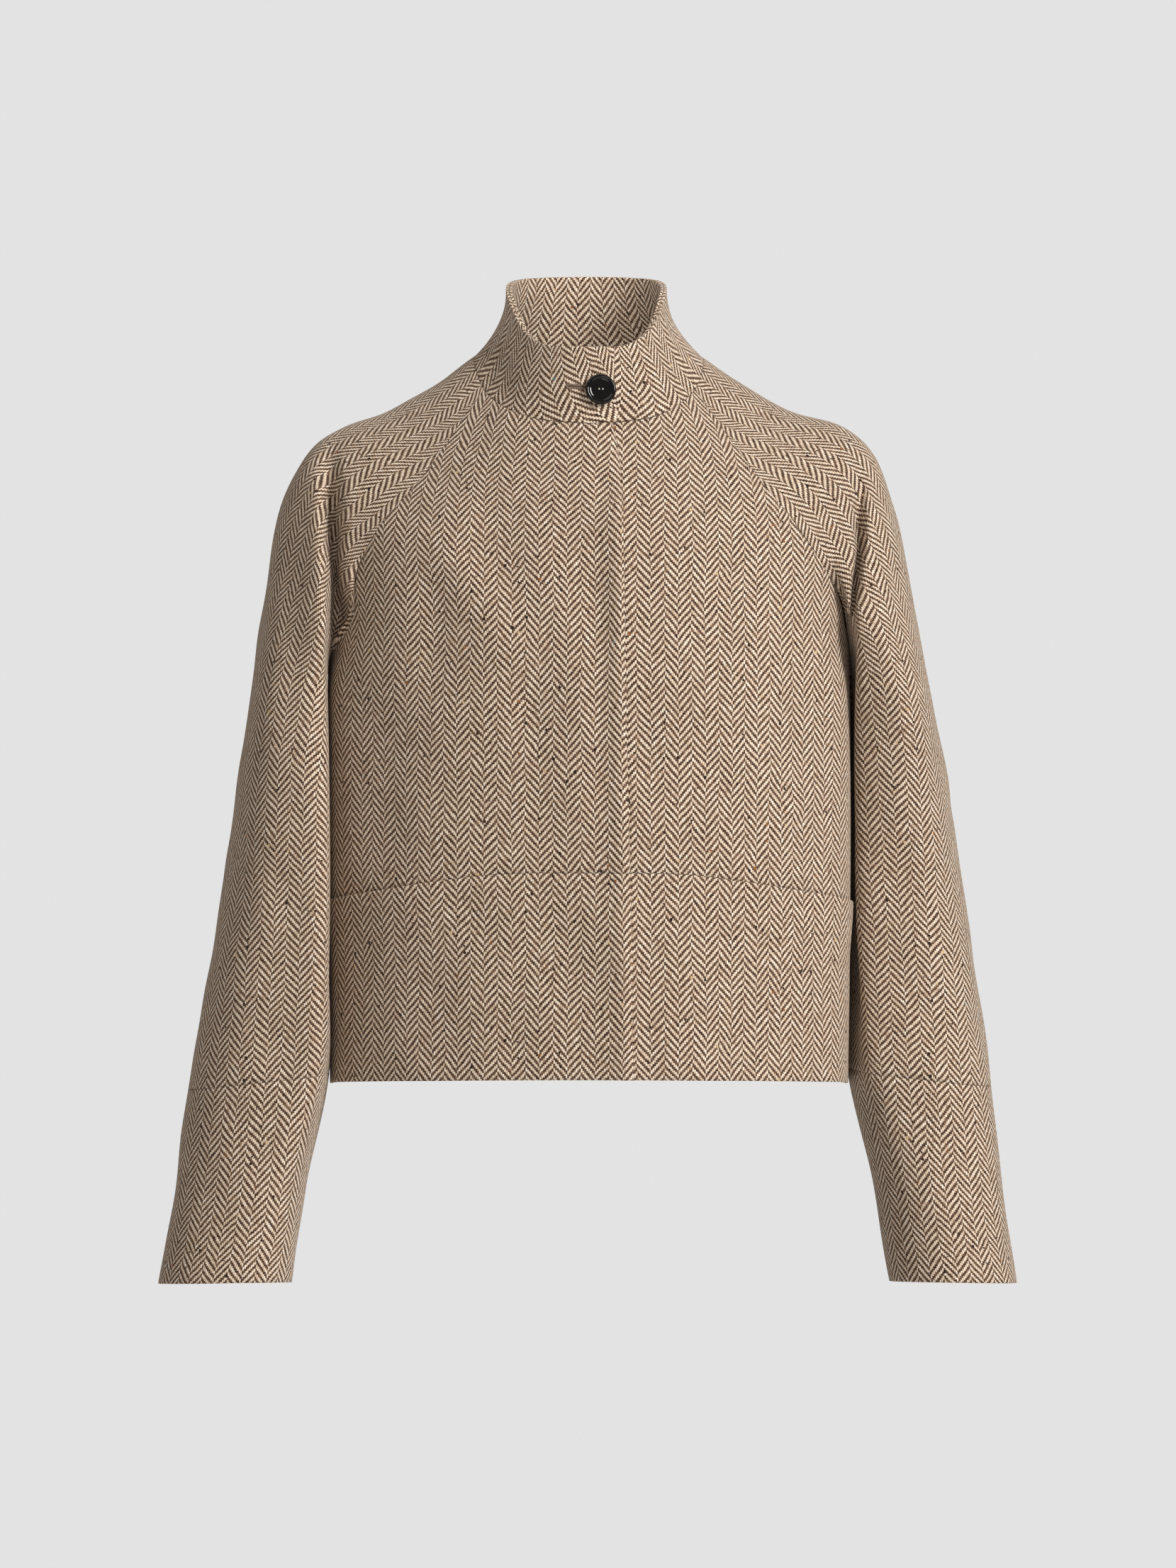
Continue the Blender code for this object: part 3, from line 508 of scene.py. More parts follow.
wool.inputs["Roughness"].default_value = 0.95
wool.inputs["Specular IOR Level"].default_value = 0.25
wool.inputs["Sheen Weight"].default_value = 0.18
wool.inputs["Sheen Roughness"].default_value = 0.45
wool.inputs["Sheen Tint"].default_value = linear("#f1e4d6")
tweed.links.new(shaded, wool.inputs["Base Color"])
tweed.links.new(bump, wool.inputs["Normal"])


def panel(name, surface, first, second, grain, creases, counts_down=False, mirrored=False, sunk=0.0):
    """Cloth shell on a surface, with its creases. A surface whose second value counts down faces in."""
    a, b = np.meshgrid(first, second)
    outward = -1.0 if counts_down else 1.0
    points = surface(a, b)
    if mirrored:
        points = points * MIRROR
        outward = -outward
    normals = grid_normals(points) * outward
    points = points + normals * (crease_relief(points, normals, creases) - sunk)[..., None]
    normals = grid_normals(points) * outward
    return cloth_shell(name, points, normals, grain(points), outward < 0, tweed_material)


Cut = namedtuple("Cut", "width length area")


def sew_in(piece, node):
    """Hangs a panel from the root and hides the node it takes the place of."""
    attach(piece, "root")
    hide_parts(node)


BACK_GIRTH = 0.470
BACK_CAP_LENGTH = 0.300
BACK_SIDE_LENGTH = 0.288
across_back = stations(0, BACK_GIRTH, 1)
back = panel(
    "back_panel",
    back_point,
    across_back,
    stations(0, BACK_CAP_LENGTH, UNDERARM, BACK_SIDE_LENGTH, UNDERARM + 1),
    lambda points: body_grain(points, len(across_back) // 2, 0.0),
    BACK_CREASES,
    counts_down=True,
)
sew_in(back, "back")


# Fronts
# Two tweed fronts, each seamed across below the waist with a pocket mouth left open in that seam. The
# wearer's right front laps over the left one and is held by hidden fastenings.

UNDERLAP = 0.028
UNDERLAP_DROP = CLOTH + 0.0010
UNDERLAP_CLEAR = 0.004
UNDERLAP_EASE = 0.026
COLLAR_DROP = 2 * CLOTH + 8 * SEAM_GAP
LAP_RISE = {1: 0.0075, -1: 0.0105}
LAP_SPREAD = 0.032
LAP_EDGE_ROLL = 0.0035
WEAVE_SHIFT = {1: 0.0045, -1: 0.0030}
LAP_RISE_START = (-0.060, -0.120)
POCKET_PROUD = CLOTH + SEAM_GAP
POCKET_LIP_FALL = 0.045
POCKET_TURNS = np.radians((24, 42, 74, 88))
FRONT_SEAM_BEARING = np.radians(66)
FRONT_GIRTH = 0.235
FRONT_CAP_LENGTH = 0.250
FRONT_SIDE_LENGTH = 0.150
FRONT_LOWER_LENGTH = 0.145

# The weight of the sleeves draws the cloth at the armpits, on the right side round to the front and on the
# left side round to the side
ArmpitPull = namedtuple("ArmpitPull", "x height reach_x reach_z turn")
ARMPIT_PULL = {
    1: ArmpitPull(0.172, -0.172, 0.018, 0.024, 0.05),
    -1: ArmpitPull(0.176, -0.182, 0.018, 0.026, -0.13),
}
PULL_FADE = (0.000, -0.040)

LapSection = namedtuple("LapSection", "depth_below_neck reach drop")
LAP = (
    LapSection(0.000, 0.0175, COLLAR_DROP),
    LapSection(0.040, 0.0225, 0.7 * COLLAR_DROP),
    LapSection(0.090, 0.0240, UNDERLAP_DROP),
    LapSection(0.310, 0.0280, UNDERLAP_DROP),
    LapSection(0.460, 0.0305, UNDERLAP_DROP),
)

CrossSeam = namedtuple("CrossSeam", "turn_deg height")
CROSS_SEAM = (
    CrossSeam(-20, -0.3600),
    CrossSeam(0, -0.3590),
    CrossSeam(20, -0.3600),
    CrossSeam(32, -0.3645),
    CrossSeam(50, -0.3725),
    CrossSeam(70, -0.3795),
    CrossSeam(90, -0.3840),
)

FRONT_CREASES = (
    Crease("front", (0.003, -0.072), (0.010, -0.116), 0.002, 0.009, 0.0026),
    Crease("front", (0.003, -0.085), (0.0110, -0.400), 0.002, 0.0090, 0.0024),
    Crease("front", (0.0215, -0.330), (0.0325, -0.640), 0.000, 0.0040, -0.0014),
    Crease("front", (-0.125, -0.110), (-0.040, -0.250), 0.008, 0.018, -0.0024),
    Crease("front", (-0.060, -0.080), (0.000, -0.260), 0.006, 0.016, -0.0016),
    Crease("front", (-0.108, -0.130), (-0.118, -0.260), 0.004, 0.012, 0.0020),
    Crease("front", (-0.150, -0.225), (-0.122, -0.370), -0.006, 0.013, 0.0018),
    Crease("front", (-0.052, -0.210), (-0.034, -0.390), 0.008, 0.016, 0.0022),
    Crease("front", (-0.086, -0.350), (-0.050, -0.372), 0.004, 0.009, 0.0016),
    Crease("front", (-0.110, -0.400), (-0.100, -0.530), 0.004, 0.022, 0.0018),
    Crease("front", (-0.040, -0.400), (-0.024, -0.560), 0.002, 0.016, -0.0014),
    Crease("front", (0.152, -0.100), (0.100, -0.190), 0.006, 0.014, 0.0014),
    Crease("front", (0.024, -0.300), (0.078, -0.284), -0.006, 0.008, -0.0012),
    Crease("front", (0.108, -0.280), (0.132, -0.372), -0.006, 0.010, 0.0020),
    Crease("front", (0.128, -0.326), (0.166, -0.284), -0.006, 0.008, -0.0016),
    Crease("front", (0.118, -0.362), (0.166, -0.396), 0.004, 0.009, 0.0016),
    Crease("front", (0.070, -0.400), (0.084, -0.530), -0.004, 0.020, -0.0016),
    Crease("front", (0.112, -0.410), (0.118, -0.540), -0.004, 0.018, 0.0016),
)

lap = Table(LAP)
cross_seam = Table(CROSS_SEAM)


def lap_read(height, column):
    """Row of the lap table for a height, the same all the way up the collar."""
    return lap.read(np.maximum(NECK[0].seam_height - height, 0.0), column)


def drawn_under(points):
    """Draws the wearer's left side in, level, where it runs under the right side."""
    clear = lap_read(points[..., 2], "reach") + UNDERLAP_CLEAR
    share = 1 - ease(clear, clear + UNDERLAP_EASE, points[..., 0])
    level = unit(points * (1, 1, 0))
    return points - level * (lap_read(points[..., 2], "drop") * share)[..., None]


def upper_front_point(across, station, reach):
    """Front panel above the cross seam. Across runs from its front edge, 0, to the side or raglan seam, 1.
    Station counts down from the cross seam, 9, past the underarm, 8, to the neck, 0."""
    edge = -reach / body.read(UNDERARM_HEIGHT, "half_width")
    low_turn = mix(edge, np.pi / 2, across)
    low = cross_seam.read(np.degrees(low_turn), "height")
    below = body_point(mix(UNDERARM_HEIGHT, low, station - UNDERARM), low_turn)
    share = 1 - station / UNDERARM
    seam_points = neck_point(mix(-reach / NECK_HALF_WIDTH, FRONT_SEAM_BEARING, across))
    dip = seam_points[..., 2] - neck_point(FRONT_SEAM_BEARING)[2]
    turn = mix(edge, np.radians(raglan.read(station, "front_turn")), across)
    above = body_point(raglan.read(station, "front_height") + dip * share * share, turn)
    top_turn = mix(edge, np.radians(RAGLAN[0].front_turn), across)
    sheet_top = body_point(RAGLAN[0].front_height + dip, top_turn)
    above = neck_pull(above, share, seam_points, sheet_top)
    return np.where((station >= UNDERARM)[..., None], below, above)


def lower_front_point(across, up, reach):
    """Front panel below the cross seam, standing off the panel above along the pocket mouth."""
    turn = mix(-reach / body.read(HEM_SIDE_HEIGHT, "half_width"), np.pi / 2, across)
    top = cross_seam.read(np.degrees(turn), "height")
    height = mix(hem_height(turn), top, up)
    points = body_point(height, turn)
    start, full, leave, end = POCKET_TURNS
    mouth = ease(start, full, turn) * (1 - ease(leave, end, turn))
    proud = POCKET_PROUD * mouth * ease(top - POCKET_LIP_FALL, top, height)
    return points + unit(points * (1, 1, 0)) * proud[..., None]


def armpit_pull(points, side, share=1.0):
    """Points near the armpit turned about the body's middle line."""
    pull = ARMPIT_PULL[side]
    wide = body.read(points[..., 2], "half_width")
    deep = body.read(points[..., 2], "front_depth")
    off_x = (points[..., 0] - pull.x) / pull.reach_x
    off_z = (points[..., 2] - pull.height) / pull.reach_z
    turn = share * pull.turn * np.exp(-(off_x**2 + off_z**2)) * ease(*PULL_FADE, points[..., 1])
    across, ahead = points[..., 0] / wide, points[..., 1] / deep
    turned_across = across * np.cos(turn) - ahead * np.sin(turn)
    turned_ahead = across * np.sin(turn) + ahead * np.cos(turn)
    return np.stack((turned_across * wide, turned_ahead * deep, points[..., 2]), axis=-1)


def lifted_at_lap(points, side):
    """Both fronts rise to the edge of the lap, where the cloth lies double."""
    height = points[..., 2]
    away = np.abs(points[..., 0] - side * lap_read(height, "reach"))
    lift = LAP_RISE[side] * np.exp(-away / LAP_SPREAD) * ease(*LAP_RISE_START, height)
    return points - np.stack((np.zeros_like(lift), lift, np.zeros_like(lift)), axis=-1)


def rolled_edge(points):
    """The right front's edge, where its cloth is turned in on a small round."""
    from_edge = np.clip(points[..., 0] + lap_read(points[..., 2], "reach"), 0.0, LAP_EDGE_ROLL)
    fall = LAP_EDGE_ROLL - np.sqrt(LAP_EDGE_ROLL**2 - (LAP_EDGE_ROLL - from_edge) ** 2)
    return points + np.stack((np.zeros_like(fall), fall, np.zeros_like(fall)), axis=-1)


def left_upper_point(across, station):
    points = drawn_under(upper_front_point(across, station, UNDERLAP))
    return lifted_at_lap(armpit_pull(points, 1), 1)


def left_lower_point(across, up):
    return lifted_at_lap(drawn_under(lower_front_point(across, up, UNDERLAP)), 1)


def right_upper_point(across, station):
    edge = upper_front_point(np.zeros_like(across), station, 0.0)
    points = upper_front_point(across, station, lap_read(edge[..., 2], "reach"))
    return rolled_edge(lifted_at_lap(armpit_pull(points, -1), -1))


def right_lower_point(across, up):
    edge = lower_front_point(np.zeros_like(across), up, 0.0)
    points = lower_front_point(across, up, lap_read(edge[..., 2], "reach"))
    return rolled_edge(lifted_at_lap(points, -1))


def front_grain(points):
    """The weave of both fronts is counted from near the centre front, almost as on one width of cloth."""
    side = np.sign(points[0, -1, 0])
    return body_grain(points, 0, side * points[:, 0, 0]) * (side, 1) - (WEAVE_SHIFT[side], 0)


across_front = stations(0, FRONT_GIRTH, 1)
upper_stations = stations(0, FRONT_CAP_LENGTH, UNDERARM, FRONT_SIDE_LENGTH, UNDERARM + 1)
lower_ups = stations(0, FRONT_LOWER_LENGTH, 1)
Front = namedtuple("Front", "node surface second counts_down mirrored cut hangs_from")
FRONTS = (
    Front(
        "left_front_upper", left_upper_point, upper_stations, True, False,
        Cut(0.304, 0.380, 0.0850), ("left_sleeve", "collar"),
    ),
    Front(
        "left_front_lower", left_lower_point, lower_ups, False, False,
        Cut(0.307, 0.155, 0.0428), ("left_front_upper",),
    ),
    Front(
        "right_front_upper", right_upper_point, upper_stations, True, True,
        Cut(0.304, 0.380, 0.0828), ("right_sleeve", "collar"),
    ),
    Front(
        "right_front_lower", right_lower_point, lower_ups, False, True,
        Cut(0.309, 0.155, 0.0429), ("right_front_upper",),
    ),
)
for front in FRONTS:
    piece = panel(
        f"{front.node}_panel", front.surface, across_front, front.second, front_grain, FRONT_CREASES,
        front.counts_down, front.mirrored,
    )
    sew_in(piece, front.node)


# Sleeves and cuffs
# Raglan sleeves that run up over the shoulder to the neck, sewn with one seam under the arm. Each has a
# deep cuff sewn on below the elbow. The cloth falls into a deep fold from the shoulder to the armpit.

CUFF_SEAM = 13
SLEEVE_END = 15
CUFF_FRONT_LIFT = 0.06
FOLD_SEAM_EASE = 0.06
FOLD_STEEPNESS = 2.4
FOLD_IN_GRAIN = 0.35
BACK_FOLD_SHARE = 0.6
PULL_AROUND = (0.03, 0.10)
BACK_TOUCH = (0.065, 0.045)
SEAM_GAP_STATIONS = (4, 7)
HANG_STATIONS = (0, 3)
SLEEVE_GIRTH = 0.350
SLEEVE_CAP_LENGTH = 0.320
SLEEVE_ARM_LENGTH = 0.290
CUFF_LENGTH = 0.142

# Line over the shoulder and down the outside of the arm. The round is how far each section's curve
# runs straight to the front and back before it turns in.
OverarmSection = namedtuple("OverarmSection", "station x height round_front round_back")
OVERARM = (
    OverarmSection(0, 0.0810, 0.0010, 0.022, 0.022),
    OverarmSection(1, 0.1060, -0.0165, 0.026, 0.026),
    OverarmSection(2, 0.1420, -0.0358, 0.031, 0.031),
    OverarmSection(3, 0.1765, -0.0485, 0.038, 0.038),
    OverarmSection(4, 0.2000, -0.0680, 0.048, 0.047),
    OverarmSection(5, 0.2145, -0.1030, 0.062, 0.060),
    OverarmSection(6, 0.2235, -0.1430, 0.078, 0.075),
    OverarmSection(7, 0.2320, -0.1860, 0.092, 0.090),
    OverarmSection(8, 0.2385, -0.2250, 0.100, 0.098),
    OverarmSection(9, 0.2465, -0.2720, 0.097, 0.095),
    OverarmSection(10, 0.2550, -0.3240, 0.092, 0.090),
    OverarmSection(11, 0.2635, -0.3800, 0.086, 0.084),
    OverarmSection(12, 0.2730, -0.4380, 0.080, 0.078),
    OverarmSection(13, 0.2835, -0.5115, 0.073, 0.071),
    OverarmSection(14, 0.2920, -0.5860, 0.070, 0.068),
    OverarmSection(15, 0.3020, -0.6500, 0.069, 0.067),
)

# Underarm seam, on the inside of the arm
InnerArmSection = namedtuple("InnerArmSection", "station x height")
INNER_ARM = (
    InnerArmSection(8, 0.1847, UNDERARM_HEIGHT),
    InnerArmSection(9, 0.1850, -0.2690),
    InnerArmSection(10, 0.1850, -0.3200),
    InnerArmSection(11, 0.1850, -0.3740),
    InnerArmSection(12, 0.1852, -0.4300),
    InnerArmSection(13, 0.1868, -0.4990),
    InnerArmSection(14, 0.2000, -0.5820),
    InnerArmSection(15, 0.2095, -0.6490),
)

# How each arm hangs: forward, and out past the lines above
HangSection = namedtuple("HangSection", "station forward outer_shift inner_shift")
HANG = {
    1: (
        HangSection(2, 0.000, 0.0000, 0.0000),
        HangSection(3, 0.000, 0.0035, 0.0000),
        HangSection(4, 0.000, 0.0020, 0.0000),
        HangSection(5, 0.000, -0.0005, 0.0000),
        HangSection(8, 0.000, 0.0005, 0.0000),
        HangSection(9, -0.010, 0.0025, -0.0002),
        HangSection(10, -0.020, 0.0037, -0.0008),
        HangSection(11, -0.024, 0.0035, -0.0012),
        HangSection(12, -0.024, 0.0030, -0.0016),
        HangSection(13, -0.021, 0.0018, -0.0038),
        HangSection(14, -0.018, 0.0006, 0.0012),
        HangSection(15, -0.014, 0.0000, 0.0025),
    ),
    -1: (
        HangSection(2, 0.000, -0.0010, 0.0000),
        HangSection(3, 0.000, -0.0010, 0.0000),
        HangSection(4, 0.000, 0.0000, 0.0000),
        HangSection(5, 0.000, 0.0022, 0.0000),
        HangSection(8, 0.000, -0.0008, 0.0000),
        HangSection(9, 0.013, -0.0024, -0.0004),
        HangSection(10, 0.028, -0.0042, -0.0014),
        HangSection(11, 0.037, -0.0048, -0.0020),
        HangSection(12, 0.041, -0.0044, -0.0024),
        HangSection(13, 0.042, -0.0026, -0.0052),
        HangSection(14, 0.041, -0.0012, -0.0020),
        HangSection(15, 0.040, -0.0004, -0.0010),
    ),
}

# The front of each sleeve rolls in and ahead beside the fold and the body, its back presses against the
# side, and the tilt turns the whole section so that its inside comes ahead
RollSection = namedtuple("RollSection", "station around width inward ahead back_inward tilt")
ROLL = {
    1: (
        RollSection(4.4, 0.330, 0.055, 0.0000, 0.000, 0.0000, 0.000),
        RollSection(5.4, 0.250, 0.055, 0.0010, 0.000, 0.0000, 0.000),
        RollSection(6.2, 0.200, 0.055, 0.0030, 0.000, 0.0000, 0.000),
        RollSection(7.2, 0.165, 0.055, 0.0070, 0.000, 0.0000, 0.000),
        RollSection(8.4, 0.160, 0.055, 0.0120, 0.000, 0.0045, 0.000),
        RollSection(9.6, 0.160, 0.055, 0.0140, 0.002, 0.0045, 0.000),
        RollSection(12.4, 0.160, 0.055, 0.0130, 0.004, 0.0045, 0.000),
        RollSection(13.4, 0.160, 0.055, 0.0030, 0.002, 0.0000, 0.000),
        RollSection(14.4, 0.160, 0.055, 0.0000, 0.000, 0.0000, 0.000),
    ),
    -1: (
        RollSection(4.0, 0.320, 0.065, 0.0000, 0.000, 0.0000, 0.000),
        RollSection(4.6, 0.260, 0.065, 0.0015, 0.006, 0.0000, 0.000),
        RollSection(5.4, 0.205, 0.065, 0.0030, 0.010, 0.0000, 0.000),
        RollSection(6.2, 0.165, 0.065, 0.0042, 0.013, 0.0000, 0.000),
        RollSection(7.2, 0.125, 0.065, 0.0062, 0.016, 0.0000, 0.000),
        RollSection(8.4, 0.115, 0.065, 0.0090, 0.016, 0.0000, 0.007),
        RollSection(9.6, 0.115, 0.065, 0.0110, 0.013, 0.0000, 0.013),
        RollSection(12.4, 0.115, 0.065, 0.0110, 0.012, 0.0000, 0.009),
        RollSection(13.4, 0.115, 0.065, 0.0030, 0.008, 0.0000, 0.006),
        RollSection(14.4, 0.115, 0.065, 0.0000, 0.000, 0.0000, 0.005),
    ),
}

# Deep folds from the shoulder to the armpit, one table for each arm. Around is a share of the way over the
# sleeve from its seam.
ArmpitFold = namedtuple("ArmpitFold", "station around width depth")
ARMPIT_FOLD = {
    1: (
        ArmpitFold(3.6, 0.360, 0.034, 0.000),
        ArmpitFold(4.3, 0.290, 0.030, 0.006),
        ArmpitFold(4.9, 0.237, 0.026, 0.014),
        ArmpitFold(5.5, 0.203, 0.026, 0.020),
        ArmpitFold(5.9, 0.172, 0.027, 0.022),
        ArmpitFold(6.3, 0.142, 0.028, 0.017),
        ArmpitFold(6.7, 0.110, 0.030, 0.008),
        ArmpitFold(7.2, 0.080, 0.030, 0.000),
    ),
    -1: (
        ArmpitFold(3.0, 0.400, 0.050, 0.000),
        ArmpitFold(3.6, 0.330, 0.048, 0.004),
        ArmpitFold(4.1, 0.255, 0.044, 0.012),
        ArmpitFold(4.5, 0.210, 0.040, 0.022),
        ArmpitFold(5.0, 0.165, 0.040, 0.030),
        ArmpitFold(5.5, 0.135, 0.040, 0.034),
        ArmpitFold(6.0, 0.105, 0.040, 0.036),
        ArmpitFold(6.5, 0.080, 0.040, 0.034),
        ArmpitFold(7.0, 0.060, 0.038, 0.026),
        ArmpitFold(7.5, 0.046, 0.036, 0.012),
        ArmpitFold(8.0, 0.036, 0.034, 0.000),
    ),
}

SLEEVE_CREASES = (
    Crease("front", (-0.212, -0.110), (-0.222, -0.300), 0.004, 0.010, 0.0026),
    Crease("front", (-0.196, -0.150), (-0.200, -0.340), 0.002, 0.009, -0.0014),
    Crease("front", (-0.235, -0.330), (-0.205, -0.420), 0.006, 0.012, 0.0018),
    Crease("front", (-0.205, -0.400), (-0.240, -0.490), -0.006, 0.014, 0.0014),
    Crease("front", (-0.280, -0.560), (-0.240, -0.640), 0.004, 0.016, 0.0016),
    Crease("front", (0.216, -0.120), (0.226, -0.270), -0.004, 0.010, 0.0018),
    Crease("front", (0.240, -0.300), (0.212, -0.400), -0.006, 0.013, 0.0016),
    Crease("front", (0.222, -0.420), (0.250, -0.500), 0.006, 0.013, 0.0014),
    Crease("front", (0.250, -0.540), (0.272, -0.640), 0.004, 0.016, 0.0014),
    Crease("back", (0.205, -0.110), (0.222, -0.280), 0.006, 0.012, 0.0030),
    Crease("back", (-0.205, -0.120), (-0.220, -0.300), -0.006, 0.013, 0.0026),
    Crease("back", (0.245, -0.300), (0.208, -0.375), 0.008, 0.011, 0.0024),
    Crease("back", (0.252, -0.350), (0.212, -0.425), 0.008, 0.012, 0.0020),
    Crease("back", (-0.242, -0.310), (-0.206, -0.380), -0.008, 0.012, 0.0022),
    Crease("back", (-0.250, -0.365), (-0.212, -0.430), -0.006, 0.011, 0.0024),
    Crease("back", (0.262, -0.540), (0.250, -0.640), 0.004, 0.016, 0.0014),
    Crease("left", (0.030, -0.290), (-0.030, -0.350), 0.006, 0.013, 0.0016),
    Crease("left", (0.020, -0.400), (-0.010, -0.500), 0.006, 0.016, 0.0014),
    Crease("right", (0.035, -0.280), (-0.040, -0.345), 0.006, 0.014, 0.0016),
    Crease("right", (0.000, -0.390), (-0.045, -0.490), 0.006, 0.016, 0.0016),
)

overarm = Table(OVERARM)
inner_arm = Table(INNER_ARM)
hang = {side: Table(rows) for side, rows in HANG.items()}
roll = {side: Table(rows) for side, rows in ROLL.items()}
armpit_fold = {side: Table(rows) for side, rows in ARMPIT_FOLD.items()}


def normal_of(surface, a, b):
    """Normal of a surface whose parameters a and b turn counter-clockwise seen from outside."""
    along_a = surface(a + PROBE, b) - surface(a - PROBE, b)
    along_b = surface(a, b + PROBE) - surface(a, b - PROBE)
    return unit(np.cross(along_a, along_b))


def bezier(start, start_handle, end_handle, end, t):
    t = t[..., None]
    s = 1 - t
    return start * s**3 + start_handle * (3 * s * s * t) + end_handle * (3 * s * t * t) + end * t**3


def raglan_edge(station, is_front):
    """Points of a raglan seam, and the direction in which the body's cloth faces there."""
    if is_front:
        def surface(across, at):
            return upper_front_point(across, at, 0.0)
        last = np.ones_like(station)
        return surface(last, station), -normal_of(surface, last, station)
    first = np.zeros_like(station)
    return back_point(first, station), -normal_of(back_point, first, station)


def sleeve_section(station, is_front):
    """Start, two handles and end of the sections' curves from the seam to the line over the arm."""
    facing = np.array((0.0, -1.0 if is_front else 1.0, 0.0))
    level = np.zeros_like(station)
    top = np.stack((overarm.read(station, "x"), level, overarm.read(station, "height")), axis=-1)
    rounding = overarm.read(station, "round_front" if is_front else "round_back")
    round_over = facing * rounding[..., None]
    inner = np.stack((inner_arm.read(station, "x"), level, inner_arm.read(station, "height")), axis=-1)
    inner = inner + facing * SEAM_GAP / 2
    edge, outward = raglan_edge(np.minimum(station, UNDERARM), is_front)
    start = edge + outward * (SEAM_GAP * ease(*SEAM_GAP_STATIONS, station))[..., None]
    along_cloth = top - start
    along_cloth = unit(along_cloth - outward * (along_cloth * outward).sum(axis=-1, keepdims=True))
    reach = along_cloth * raglan.read(station, "reach")[..., None]
    swing = facing * raglan.read(station, "swing")[..., None]
    is_arm = (station >= UNDERARM)[..., None]
    first = np.where(is_arm, inner, start)
    second = np.where(is_arm, inner + round_over, start + reach + swing)
    return first, second, top + round_over, top


def fold_depth(around, station, side):
    """Depth of an arm's armpit folds, counted from the nearer seam."""
    from_seam = np.minimum(around, 1 - around)
    table = armpit_fold[side]
    away = (from_seam - table.read(station, "around")) / table.read(station, "width")
    share = np.where(around < 0.5, 1.0, BACK_FOLD_SHARE) * ease(0, FOLD_SEAM_EASE, from_seam)
    has_fold = (station > ARMPIT_FOLD[side][0].station) & (station < ARMPIT_FOLD[side][-1].station)
    depth = share * table.read(station, "depth") * np.exp(-np.abs(away) ** FOLD_STEEPNESS)
    return np.where(has_fold, depth, 0.0)


def plain_sleeve_point(around, station):
    """Sleeve with no folds. Around runs from the front seam, 0, over the arm, 0.5, to the back seam, 1."""
    halves = []
    for is_front in (True, False):
        t = 2 * around if is_front else 2 * (1 - around)
        points = bezier(*sleeve_section(station, is_front), t)
        sheet_top = bezier(*sleeve_section(np.zeros_like(station), is_front), t)
        seam_points = neck_point(mix(FRONT_SEAM_BEARING, BACK_SEAM_BEARING, around))
        pulled = neck_pull(points, 1 - station / UNDERARM, seam_points, sheet_top)
        halves.append(np.where((station >= UNDERARM)[..., None], points, pulled))
    return np.where((around < 0.5)[..., None], *halves)


def hanging_sleeve_point(around, station, side, fold_share=1.0):
    """Sleeve with its folds, carried forward or back and in or out as that arm hangs, and lying against the
    side of the body."""
    points = plain_sleeve_point(around, station)
    points = armpit_pull(points, side, 1 - ease(*PULL_AROUND, around))
    points[..., 1] += fold_share * fold_depth(around, station, side) * np.where(around < 0.5, 1.0, -1.0)
    table = hang[side]
    forward = table.read(np.maximum(station, UNDERARM), "forward")
    outer = (1 - np.cos(2 * np.pi * around)) / 2
    at = np.maximum(station, HANG[side][0].station)
    shift = mix(table.read(at, "inner_shift"), table.read(at, "outer_shift"), outer)
    shift = shift * ease(*HANG_STATIONS, station)
    rolled_at = np.clip(station, ROLL[side][0].station, ROLL[side][-1].station)
    off_roll = (around - roll[side].read(rolled_at, "around")) / roll[side].read(rolled_at, "width")
    rolled = np.exp(-off_roll * off_roll)
    off_back = (1 - around - BACK_TOUCH[0]) / BACK_TOUCH[1]
    pressed = np.exp(-off_back * off_back)
    shift = shift - roll[side].read(rolled_at, "inward") * rolled
    shift = shift - roll[side].read(rolled_at, "back_inward") * pressed
    forward = forward + roll[side].read(rolled_at, "ahead") * rolled
    forward = forward + roll[side].read(rolled_at, "tilt") * np.cos(2 * np.pi * around)
    lift = (forward - points[..., 1]) * CUFF_FRONT_LIFT * ease(CUFF_SEAM, SLEEVE_END, station)
    return points + np.stack((shift, -forward, lift), axis=-1)


def sleeve_grain(points):
    """The weave runs along the sleeve, counted from the line over the arm."""
    stretch = np.linalg.norm(np.diff(points, axis=1), axis=-1)
    across = np.concatenate((np.zeros((len(points), 1)), np.cumsum(stretch, axis=1)), axis=1)
    middle = points.shape[1] // 2
    across = across - across[:, middle:middle + 1]
    line = np.linalg.norm(np.diff(points[:, middle], axis=0), axis=-1)
    along = np.concatenate(((0.0,), np.cumsum(line)))
    return np.stack(np.broadcast_arrays(across, along[:, None]), axis=-1)


around_sleeve = stations(0, SLEEVE_GIRTH, 1)
arm_stations = stations(0, SLEEVE_CAP_LENGTH, UNDERARM, SLEEVE_ARM_LENGTH, CUFF_SEAM)
cuff_stations = stations(CUFF_SEAM, CUFF_LENGTH, SLEEVE_END)
SleevePart = namedtuple("SleevePart", "side node stations cut hangs_from")
SLEEVE_PARTS = (
    SleevePart(
        1, "left_sleeve", arm_stations, Cut(0.361, 0.605, 0.174), ("left_front_upper", "back", "collar")
    ),
    SleevePart(1, "left_cuff", cuff_stations, Cut(0.345, 0.146, 0.0470), ("left_sleeve",)),
    SleevePart(
        -1, "right_sleeve", arm_stations, Cut(0.364, 0.605, 0.177), ("right_front_upper", "back", "collar")
    ),
    SleevePart(-1, "right_cuff", cuff_stations, Cut(0.348, 0.144, 0.0468), ("right_sleeve",)),
)
